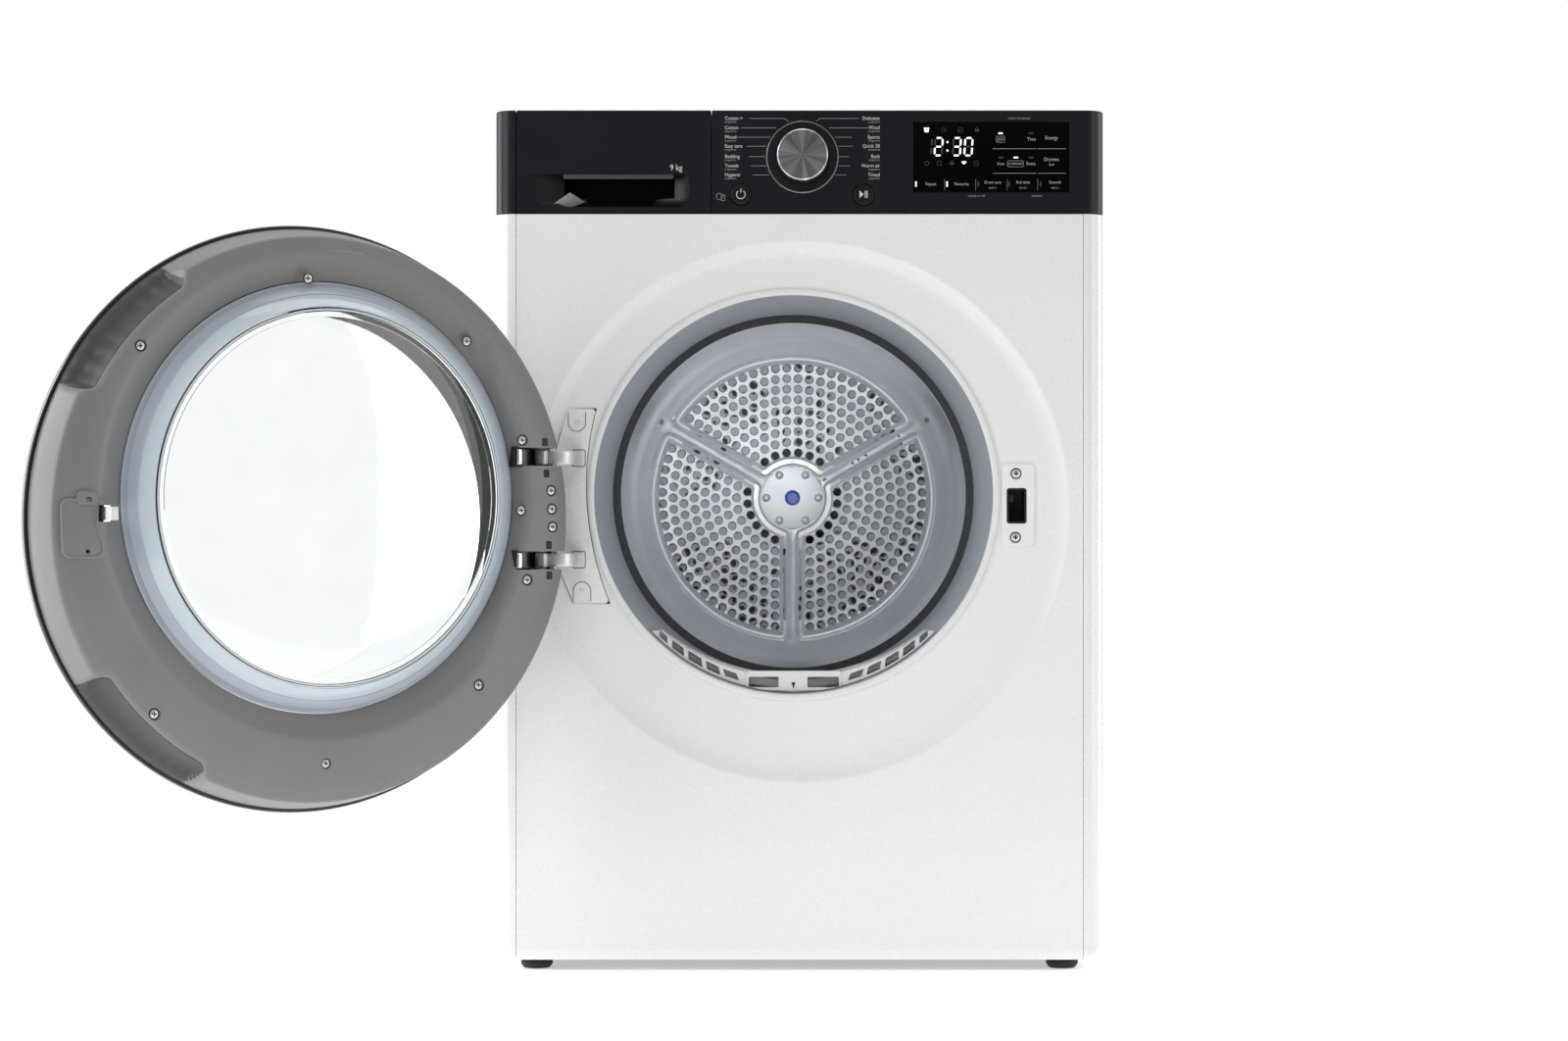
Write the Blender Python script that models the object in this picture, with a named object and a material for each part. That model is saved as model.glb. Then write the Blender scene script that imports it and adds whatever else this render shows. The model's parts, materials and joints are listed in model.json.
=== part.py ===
"""A front-loading heat-pump clothes dryer, 600 mm wide, with its door standing open.

X runs to the right as seen from the front, Y into the machine, Z up. The origin is the
middle of the base's underside, which stands FOOT_HEIGHT above the floor.
"""

import math

import bmesh
import bpy
from mathutils import Matrix, Vector

# Cabinet.
WIDTH, HEIGHT, DEPTH = 0.600, 0.850, 0.640
FOOT_HEIGHT = 0.012
HALF = WIDTH / 2
FRONT_Y, REAR_Y = -DEPTH / 2, DEPTH / 2
TOP_Z = HEIGHT - FOOT_HEIGHT
SHEET = 0.0010
GAP = 0.0004
CORNER_R, BASE_R, TOP_R = 0.020, 0.0125, 0.005
SEAM_X = HALF - 0.021
COVER_Z = TOP_Z - 0.0115
FOOT_X, FOOT_INSET = 0.262, 0.052

# Control band across the top of the front.
BAND_Z = 0.7355
BAND_DEPTH = 0.021
BAND_WALL = 0.0025
BAND_TOP = TOP_Z - 0.0006
SPLIT_X = -0.087
DIAL = (0.0027, 0.7914)
DIAL_R, DIAL_REACH, DIAL_SHAFT_R = 0.0255, 0.0255, 0.004
POWER, START = (-0.0579, 0.7548), (0.0631, 0.7545)
BUTTON_R = 0.010
DISPLAY_X, DISPLAY_Z = (0.1120, 0.2650), (0.7567, 0.8255)
GRIP_X, GRIP_Z = (-0.274, -0.108), (0.7415, 0.7745)
LIP_X = (-0.2324, -0.1234)
TANK_X, TANK_Z, TANK_DEPTH = (-0.268, -0.098), (0.7445, 0.8150), (0.0350, 0.4500)

# Front recess, loading opening and drum.
RECESS = (0.0, 0.4425)
RECESS_R, RECESS_FLOOR_R, RECESS_DEPTH = 0.2650, 0.2540, 0.0080
AXIS = (-0.006, 0.459)
OPENING_R = 0.2010
FUNNEL_R, FUNNEL_END_R = (0.1966, 0.1812), 0.0890
DRUM_R, DRUM_WALL = 0.2780, 0.0010
DRUM_FRONT, DRUM_REAR = 0.1000, 0.5200
DRUM_LIP_R = 0.1760
REAR_FACE = 0.5000
LIFTER_ANGLES = (30, 150, 270)
LIFTER_DEPTH = (0.170, 0.470)

# Door, drawn closed. Heights are measured from the rim plane towards the machine.
DOOR = (0.0, 0.439)
GLASS = (-0.006, 0.455)
DOOR_RIM = -0.044
PIVOT = (-0.252, -0.030)
OPEN_ANGLE = 147
HINGE_Z = (0.495, 0.395)
ARM_HALF_HEIGHT, ARM_HALF_WIDTH = 0.0065, 0.0025
PIN_R = 0.0030
POCKET_ANGLES = ((26, 58), (-60, -28))
LATCH_X, LATCH_Z = 0.2140, 0.4480
LATCH_HALF = (0.0103, 0.0180)
HOOK_Z = (0.4340, 0.4460)
HOOK_PIVOT = (0.2125, -0.004)

# Drive.
MOTOR = (0.165, 0.100)
PULLEY_R, IDLER_R = 0.0100, 0.0140
IDLER = (0.105, 0.113)
ARM_PIVOT = (0.060, 0.060)
BELT_DEPTH, BELT_THICK = (0.2565, 0.2785), 0.0016
BELT_CLEAR = 0.0014
ROLLER_R, ROLLER_ANGLE = 0.0300, 40
ROLLER_DEPTH = (0.160, 0.186)

ROUND, MEDIUM, SMALL = 40, 20, 12
TINY = 1e-6


def depth(d):
    """The Y of a point d behind the front plane."""
    return FRONT_Y + d


def material(name, colour, roughness, metallic=0.0, alpha=1.0):
    made = bpy.data.materials.get(name) or bpy.data.materials.new(name)
    made.use_nodes = True
    shader = made.node_tree.nodes["Principled BSDF"]
    shader.inputs["Base Color"].default_value = (*colour, 1.0)
    shader.inputs["Roughness"].default_value = roughness
    shader.inputs["Metallic"].default_value = metallic
    shader.inputs["Alpha"].default_value = alpha
    made.diffuse_color = (*colour, alpha)
    return made


def add_object(name, bm, origin=(0, 0, 0), parent=None):
    """An object whose mesh is drawn in closed, world coordinates and moved to its own origin."""
    origin = Vector(origin)
    bmesh.ops.translate(bm, verts=bm.verts, vec=-origin)
    bmesh.ops.recalc_face_normals(bm, faces=bm.faces)
    mesh = bpy.data.meshes.new(name)
    bm.to_mesh(mesh)
    bm.free()
    mesh.shade_smooth()
    mesh.set_sharp_from_angle(angle=math.radians(35))
    made = bpy.data.objects.new(name, mesh)
    bpy.context.scene.collection.objects.link(made)
    made.location = origin
    if parent:
        made.parent = parent
        made.location = origin - parent.location
    return made


def piece(name, bm, finish, origin=(0, 0, 0), parent=None):
    made = add_object(name, bm, origin, parent)
    made.data.materials.append(finish)
    return made


def combine(target, bm, operation="DIFFERENCE", less=()):
    """Cuts bm from the target, or joins it on. Each mesh in less is first cut from bm itself."""
    origin = target.location + (target.parent.location if target.parent else Vector())
    number = len(target.modifiers) + 1
    tool = add_object(f"{target.name}_tool_{number}", bm, origin, target.parent)
    tool.hide_render = True
    tool.display_type = "WIRE"
    for other in less:
        combine(tool, other)
    modifier = target.modifiers.new(f"{operation.title()} {number}", "BOOLEAN")
    modifier.operation = operation
    modifier.object = tool
    modifier.solver = "EXACT"
    return target


def box(*corners):
    """Boxes joined in one mesh, from pairs of corners (x, depth, z)."""
    bm = bmesh.new()
    for low, high in zip(corners[::2], corners[1::2]):
        low, high = (low[0], depth(low[1]), low[2]), (high[0], depth(high[1]), high[2])
        made = bmesh.ops.create_cube(bm, size=1.0)["verts"]
        for vert in made:
            vert.co = [h if c > 0 else l for c, l, h in zip(vert.co, low, high)]
    return bm


def rounded(bm, chosen, radius, segments):
    """Bevels the edges whose two ends both satisfy chosen, given their world coordinates."""
    edges = [e for e in bm.edges if all(chosen(*v.co) for v in e.verts)]
    bmesh.ops.bevel(
        bm, geom=edges, offset=radius, segments=segments, profile=0.5, affect="EDGES", clamp_overlap=True
    )
    return bm


def rounded_along_y(bm, radius, segments=4):
    edges = [e for e in bm.edges if abs(e.verts[0].co.y - e.verts[1].co.y) > TINY]
    bmesh.ops.bevel(bm, geom=edges, offset=radius, segments=segments, profile=0.5, affect="EDGES")
    return bm


def bridge(bm, first, second):
    """Faces between two rings of vertices, either of which may be a single point on the axis."""
    count = max(len(first), len(second))
    if count == 1:
        return
    for i in range(count):
        j = (i + 1) % count
        if len(first) == 1:
            bm.faces.new((first[0], second[j], second[i]))
        elif len(second) == 1:
            bm.faces.new((first[i], first[j], second[0]))
        else:
            bm.faces.new((first[i], first[j], second[j], second[i]))


def turned(profile, centre, segments=ROUND, upright=False):
    """A closed profile of (radius, distance) points, turned about an axis along Y, or along Z if upright."""
    bm = bmesh.new()
    rings = []
    for radius, along in profile:
        ring = []
        for i in range(segments if radius > TINY else 1):
            angle = math.tau * i / segments
            a, b = radius * math.cos(angle), radius * math.sin(angle)
            spot = (centre[0] + a, centre[1] + b, along) if upright else (centre[0] + a, depth(along), centre[1] + b)
            ring.append(bm.verts.new(spot))
        rings.append(ring)
    for first, second in zip(rings, rings[1:] + rings[:1]):
        bridge(bm, first, second)
    return bm


def cylinder(centre, radius, start, end, segments=SMALL, upright=False):
    return turned([(0, start), (radius, start), (radius, end), (0, end)], centre, segments, upright)


def prism(outline, start, end, upright=False):
    """An outline of (x, z) points drawn out along Y, or of (x, depth) points drawn out along Z if upright."""
    bm = bmesh.new()
    caps = []
    for along in (start, end):
        spots = [(x, depth(v), along) if upright else (x, depth(along), v) for x, v in outline]
        caps.append([bm.verts.new(spot) for spot in spots])
    bridge(bm, *caps)
    for cap in caps:
        bm.faces.new(cap)
    return bm


def sector(centre, radii, angles, start, end, steps=6):
    """A block bounded by two arcs about the centre, drawn out along Y."""
    turns = [math.radians(angles[0] + (angles[1] - angles[0]) * i / steps) for i in range(steps + 1)]
    arcs = [(radii[1], a) for a in turns] + [(radii[0], a) for a in reversed(turns)]
    return prism([(centre[0] + r * math.cos(a), centre[1] + r * math.sin(a)) for r, a in arcs], start, end)


def door_turned(profile, centre, segments=ROUND):
    return turned([(radius, DOOR_RIM + height) for radius, height in profile], centre, segments)


def build_cabinet(white, board, plastic):
    for name, side in (("left_side_panel", -1), ("right_side_panel", 1)):
        def skin(inset, radius, base_radius, name=name, side=side):
            """The side wall with its front wrap and base flange, or the space inside it."""
            reach = 0.05 if inset else 0.0
            xs = sorted((side * (HALF - inset), side * (SEAM_X + GAP - reach)))
            bm = box((xs[0], inset, inset), (xs[1], DEPTH - 0.002 + reach, COVER_Z - GAP + reach))
            outer_x, front = side * (HALF - inset), depth(inset)
            rounded(bm, lambda x, y, z: abs(x - outer_x) < TINY and abs(y - front) < TINY, radius, 5)
            seam, back = side * (SEAM_X + GAP - reach), depth(DEPTH - 0.002 + reach)
            low = [
                e for e in bm.edges
                if all(abs(v.co.z - inset) < TINY for v in e.verts)
                and not all(abs(v.co.x - seam) < TINY for v in e.verts)
                and not all(abs(v.co.y - back) < TINY for v in e.verts)
            ]
            bmesh.ops.bevel(bm, geom=low, offset=base_radius, segments=4, profile=0.5, affect="EDGES")
            return bm

        panel = piece(name, skin(0.0, CORNER_R, BASE_R), white)
        combine(panel, skin(SHEET, CORNER_R - SHEET, BASE_R - SHEET))
        combine(panel, box((-1, -0.05, BAND_Z - GAP), (1, BAND_DEPTH + GAP, 1)))

    cover = box((-HALF, BAND_DEPTH + GAP, COVER_Z), (HALF, DEPTH, TOP_Z))
    piece("top_cover", rounded(cover, lambda x, y, z: z > TOP_Z - TINY, TOP_R, 3), board)

    rear = piece("rear_panel", box((-0.298, DEPTH - SHEET, 0.003), (0.298, DEPTH, COVER_Z - GAP)), white)
    slots = []
    for column in (-0.17, -0.09, 0.09, 0.17):
        for row in range(5):
            z = 0.080 + 0.018 * row
            slots += [(column - 0.03, DEPTH - 0.01, z), (column + 0.03, DEPTH + 0.01, z + 0.006)]
    combine(rear, box(*slots))

    build_front_panel(white)
    build_base(plastic)
    for end, at in (("front", FOOT_INSET), ("rear", DEPTH - FOOT_INSET)):
        for side, x in (("left", -FOOT_X), ("right", FOOT_X)):
            centre = (x, depth(at))
            profile = [
                (0, -FOOT_HEIGHT), (0.0130, -FOOT_HEIGHT), (0.0155, -0.0090), (0.0155, -0.0005),
                (0.0047, -0.0005), (0.0047, 0.0340), (0, 0.0340),
            ]
            piece(f"foot_{end}_{side}", turned(profile, centre, SMALL, True), plastic, (*centre, 0))
    gland = piece("mains_inlet", box((0.225, DEPTH - 0.018, 0.700), (0.265, DEPTH - SHEET - GAP, 0.730)), plastic)
    combine(gland, cylinder((0.245, 0.715), 0.0045, DEPTH - 0.05, DEPTH + 0.05, SMALL))
    combine(rear, cylinder((0.245, 0.715), 0.0080, DEPTH - 0.05, DEPTH + 0.05, SMALL))


def build_front_panel(white):
    """A pressed sheet with flanges behind its edges, a round recess and the loading opening."""
    top = BAND_Z - 0.0005

    def block(inset, radius, back):
        bm = box((-SEAM_X + inset, inset, inset), (SEAM_X - inset, back, top - inset))
        front = depth(inset)
        return rounded(bm, lambda x, y, z: abs(y - front) < TINY and abs(z - inset) < TINY, radius, 4)

    floor = RECESS_DEPTH + SHEET
    dish_back = [
        (0, -0.01), (RECESS_R + SHEET, -0.01), (RECESS_R + SHEET, SHEET), (RECESS_FLOOR_R + SHEET, floor), (0, floor),
    ]
    dish = [(0, -0.02), (RECESS_R + 0.02, -0.02), (RECESS_R, 0), (RECESS_FLOOR_R, RECESS_DEPTH), (0, RECESS_DEPTH)]
    panel = piece("front_panel", block(0.0, BASE_R, 0.030), white)
    combine(panel, block(SHEET, BASE_R - SHEET, 0.060), less=[turned(dish_back, RECESS)])
    combine(panel, turned(dish, RECESS))
    combine(panel, cylinder(AXIS, OPENING_R, -0.05, 0.05, ROUND))
    half_x, half_z = LATCH_HALF
    hole = box(
        (LATCH_X - half_x - GAP, -0.05, LATCH_Z - half_z - GAP), (LATCH_X + half_x + GAP, 0.05, LATCH_Z + half_z + GAP)
    )
    combine(panel, hole)


def build_base(plastic):
    """The moulded base: a tray with foot bosses, the tensioner's post and a small pad to rest a datum on."""
    half, front, back, rim = 0.2785, 0.031, 0.636, 0.045
    tray = piece("base_tray", box((-half, front, 0.0005), (half, back, rim)), plastic)
    combine(tray, box((-half + 0.003, front + 0.003, 0.0045), (half - 0.003, back - 0.003, 0.1)))
    middle = DEPTH / 2
    combine(tray, box((-0.04, middle - 0.04, 0.0), (0.04, middle + 0.04, 0.003)), "UNION")
    for at in (FOOT_INSET, DEPTH - FOOT_INSET):
        for x in (-FOOT_X, FOOT_X):
            combine(tray, cylinder((x, depth(at)), 0.0085, 0.002, 0.036, SMALL, True), "UNION")
            combine(tray, cylinder((x, depth(at)), 0.0051, -0.01, 0.05, SMALL, True))
    x, z = ARM_PIVOT
    combine(tray, box((x - 0.010, 0.222, 0.002), (x + 0.010, 0.236, z + 0.010)), "UNION")
    combine(tray, cylinder(ARM_PIVOT, 0.0050, 0.230, 0.256), "UNION")


def build_band(black, chrome, glass, board):
    low, high = BAND_Z + 0.0002, BAND_TOP

    def corner(side, inner_x, inset):
        """The band's moulding from inner_x out to the cabinet's side, or the space inside it."""
        back = BAND_DEPTH + (0.05 if inset else 0)
        outer = side * (HALF - inset)
        xs = sorted((outer, inner_x + side * inset))
        bm = box((xs[0], inset, low + inset), (xs[1], back, high - inset))
        front = depth(inset)
        radius = CORNER_R - inset
        return rounded(bm, lambda x, y, z: abs(x - outer) < TINY and abs(y - front) < TINY, radius, 5)

    panel = piece("control_panel", corner(1, SPLIT_X + GAP, 0.0), black)
    combine(panel, corner(1, SPLIT_X + GAP, BAND_WALL))
    window = box((DISPLAY_X[0] - GAP, -0.05, DISPLAY_Z[0] - GAP), (DISPLAY_X[1] + GAP, 0.01, DISPLAY_Z[1] + GAP))
    combine(panel, window)
    combine(panel, cylinder(DIAL, DIAL_SHAFT_R + 0.0006, -0.05, 0.01))
    for centre in (POWER, START):
        combine(panel, cylinder(centre, BUTTON_R + 0.0006, -0.05, 0.01, MEDIUM))

    trim = piece("corner_trim_left", corner(-1, -SEAM_X - GAP, 0.0), black)
    combine(trim, corner(-1, -SEAM_X - GAP, BAND_WALL))

    pane = box((DISPLAY_X[0], -0.0003, DISPLAY_Z[0]), (DISPLAY_X[1], 0.0022, DISPLAY_Z[1]))
    piece("display_window", pane, glass)
    circuit = piece("control_board", box((-0.070, 0.0300, 0.7500), (0.270, 0.0316, 0.8220)), board)
    parts = [
        (0.125, 0.024, 0.765), (0.255, 0.032, 0.818),
        (-0.020, 0.030, 0.775), (0.026, 0.040, 0.808),
        (0.060, 0.030, 0.790), (0.090, 0.046, 0.815),
    ]
    combine(circuit, box(*parts), "UNION")

    knob = [
        (0, -DIAL_REACH), (DIAL_R - 0.0020, -DIAL_REACH), (DIAL_R, -DIAL_REACH + 0.0015), (DIAL_R, -0.0012),
        (DIAL_SHAFT_R, -0.0012), (DIAL_SHAFT_R, 0.0280), (0, 0.0280),
    ]
    piece("dial", turned(knob, DIAL, MEDIUM), chrome, (DIAL[0], FRONT_Y, DIAL[1]))
    button = [
        (0, -0.0012), (BUTTON_R - 0.0006, -0.0012), (BUTTON_R, -0.0006), (BUTTON_R, 0.0045),
        (BUTTON_R + 0.0025, 0.0045), (BUTTON_R + 0.0025, 0.0060), (0, 0.0060),
    ]
    for name, centre in (("power_button", POWER), ("start_button", START)):
        piece(name, turned(button, centre, MEDIUM), black, (centre[0], FRONT_Y, centre[1]))


def build_drawer(black, plastic):
    """The water tank's drawer: a front with a finger grip, the tank, and the guide it slides in."""
    origin = (sum(TANK_X) / 2, FRONT_Y, sum(TANK_Z) / 2)
    left, right, back = -SEAM_X + GAP, SPLIT_X - GAP, 0.0340
    front = piece(
        "tank_drawer_front", box((left, 0, BAND_Z + 0.0002), (right, back, BAND_TOP)), black, origin
    )
    combine(front, box((-1, BAND_DEPTH, COVER_Z - 0.004), (1, 0.1, 1)))
    pocket = box((GRIP_X[0], -0.01, GRIP_Z[0]), (GRIP_X[1], 0.0280, GRIP_Z[1]))
    combine(front, rounded_along_y(pocket, 0.008))
    combine(front, box((LIP_X[0], 0.0080, GRIP_Z[0] + 0.010), (LIP_X[1], 0.0270, GRIP_Z[1] + 0.017)))

    tank = box((TANK_X[0], TANK_DEPTH[0], TANK_Z[0]), (TANK_X[1], TANK_DEPTH[1], TANK_Z[1]))
    tank = piece("water_tank", rounded_along_y(tank, 0.010, 3), plastic, origin)
    wall = 0.003
    inside = box(
        (TANK_X[0] + wall, TANK_DEPTH[0] + wall, TANK_Z[0] + wall), (TANK_X[1] - wall, TANK_DEPTH[1] - wall, 0.9)
    )
    combine(tank, inside)

    play = 0.004
    guide = box(
        (TANK_X[0] - play - 0.002, 0.045, TANK_Z[0] - 0.0055), (TANK_X[1] + play + 0.002, 0.470, TANK_Z[1] - 0.02)
    )
    guide = piece("tank_guide", guide, plastic)
    hollow = box((TANK_X[0] - play, 0.0, TANK_Z[0] - 0.0035), (TANK_X[1] + play, 0.466, 0.9))
    combine(guide, hollow)


def build_opening(plastic, felt, white):
    """The funnel behind the loading opening, with the plate that carries the drum's rollers."""
    (mouth, throat), end = FUNNEL_R, FUNNEL_END_R
    profile = [
        (mouth + 0.0004, 0.0066), (mouth + 0.0019, 0.0060), (0.2030, 0.0064), (0.2030, 0.0076), (0.2000, 0.0076),
        (0.1996, 0.0105), (throat + 0.0024, end + 0.0006), (0.3300, end + 0.0006), (0.3300, end + 0.0028),
        (throat, end + 0.0028), (throat, end), (mouth, 0.0100),
    ]
    bulkhead = piece("front_bulkhead", turned(profile, AXIS), plastic)
    for side in (-1, 1):
        combine(bulkhead, box((min(side, side * 0.291), 0.05, -1), (max(side, side * 0.291), 0.2, 2)))
    combine(bulkhead, box((-1, 0.05, 0.7325), (1, 0.2, 2)))
    combine(bulkhead, box((AXIS[0] - 0.052, 0.040, 0.20), (AXIS[0] + 0.052, 0.070, 0.32)))
    for centre in roller_centres():
        combine(bulkhead, cylinder(centre, 0.0045, end + 0.001, ROLLER_DEPTH[1] + 0.004), "UNION")

    seal = [(0.1740, end + 0.0032), (0.1900, end + 0.0032), (0.1900, end + 0.0090), (0.1740, end + 0.0090)]
    piece("drum_seal", turned(seal, AXIS), felt)

    # The grille fills the bottom of the funnel below a flatter arc.
    clear, front, back, arc_r, arc_drop = 0.0008, 0.0160, 0.0860, 0.2090, 0.0290
    slope = (throat - mouth) / (end - 0.0100)
    radii = [mouth + slope * (d - 0.0100) - clear for d in (front, back)]
    wedge = turned([(0, front), (radii[0], front), (radii[1], back), (0, back)], AXIS)
    grille = piece("filter_grille", wedge, white)
    combine(grille, cylinder((AXIS[0], AXIS[1] + arc_drop), arc_r, 0.0, 0.1, ROUND))
    combine(grille, box((-1, 0, 0.316), (1, 0.1, 1)))
    combine(grille, box((AXIS[0] - 0.0475, 0.0430, 0.2), (AXIS[0] + 0.0475, 0.0670, 0.4)))

    low, top = 0.130, 0.2800
    half = 0.0465
    cassette = box((AXIS[0] - half, 0.0440, low), (AXIS[0] + half, 0.0660, top))
    cassette = piece("lint_filter", cassette, white, (AXIS[0], depth(0.055), top))
    for start, stop in ((0.040, 0.0530), (0.0570, 0.070)):
        combine(cassette, box((AXIS[0] - half + 0.006, start, low + 0.006), (AXIS[0] + half - 0.006, stop, top - 0.025)))


def roller_centres():
    reach = DRUM_R + ROLLER_R + 0.0008
    angles = (math.radians(270 - ROLLER_ANGLE), math.radians(270 + ROLLER_ANGLE))
    return [(AXIS[0] + reach * math.cos(a), AXIS[1] + reach * math.sin(a)) for a in angles]


def build_drum(steel, plastic, chrome):
    centre = (AXIS[0], FRONT_Y, AXIS[1])
    wall = DRUM_WALL
    shell = [
        (DRUM_LIP_R, DRUM_FRONT), (0.2650, 0.1300), (DRUM_R, 0.1480), (DRUM_R, DRUM_REAR),
        (DRUM_R - wall, DRUM_REAR), (DRUM_R - wall, 0.1484), (0.2643, 0.1311), (DRUM_LIP_R, DRUM_FRONT + 0.0012),
    ]
    piece("drum_shell", turned(shell, AXIS), steel, centre)
    face = REAR_FACE
    rear = [
        (0, face), (0.1620, face), (0.1700, face - 0.006), (0.1950, face - 0.010), (0.2500, face - 0.002),
        (0.2755, face + 0.010), (0.2755, face + 0.012), (0.2494, face), (0.1950, face - 0.008),
        (0.1707, face - 0.004), (0.1625, face + 0.002), (0, face + 0.002),
    ]
    piece("drum_rear_panel", turned(rear, AXIS), steel, centre)
    shaft = [(0, face + 0.0024), (0.0450, face + 0.0024), (0.0450, face + 0.0070), (0.0125, face + 0.0100),
             (0.0125, 0.6020), (0, 0.6020)]
    piece("drum_shaft", turned(shaft, AXIS, MEDIUM), chrome, centre)
    for number, angle in enumerate(LIFTER_ANGLES, 1):
        out = Vector((math.cos(math.radians(angle)), math.sin(math.radians(angle))))
        across = Vector((-out.y, out.x))
        section = [
            (-0.045, 0.2690), (-0.014, 0.2100), (0.0, 0.2050), (0.014, 0.2100), (0.045, 0.2690),
            (0.030, 0.2715), (0.0, 0.2735), (-0.030, 0.2715),
        ]
        outline = [Vector(AXIS) + across * t + out * r for t, r in section]
        piece(f"drum_lifter_{number}", prism(outline, *LIFTER_DEPTH), plastic, centre)

    bearing = [
        (0.0130, 0.5560), (0.0300, 0.5560), (0.0300, 0.5960), (0.0600, 0.5990), (0.0600, 0.6045), (0.0130, 0.6045),
    ]
    piece("bearing_housing", turned(bearing, AXIS, MEDIUM), chrome)
    duct = [
        (0.2660, 0.5300), (0.2560, 0.6070), (0.0160, 0.6070), (0.0160, 0.6050), (0.2540, 0.6050), (0.2640, 0.5300),
    ]
    piece("rear_air_duct", turned(duct, AXIS), steel)


def belt_loop(circles, offset):
    """Points of a belt round circles (x, z, radius), a radius below zero where the belt's back touches."""
    loop = []
    count = len(circles)
    normals = []
    for i in range(count):
        (x1, z1, r1), (x2, z2, r2) = circles[i], circles[(i + 1) % count]
        away = math.atan2(z2 - z1, x2 - x1)
        normals.append(away - math.acos((r1 - r2) / math.hypot(x2 - x1, z2 - z1)))
    for i, (x, z, r) in enumerate(circles):
        start, end = normals[i - 1], normals[i]
        turn = (end - start) % math.tau if r > 0 else -((start - end) % math.tau)
        steps = max(2, math.ceil(abs(turn) / math.tau * ROUND))
        for k in range(steps + 1):
            angle = start + turn * k / steps
            loop.append((x + (r + offset) * math.cos(angle), z + (r + offset) * math.sin(angle)))
    return loop


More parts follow.
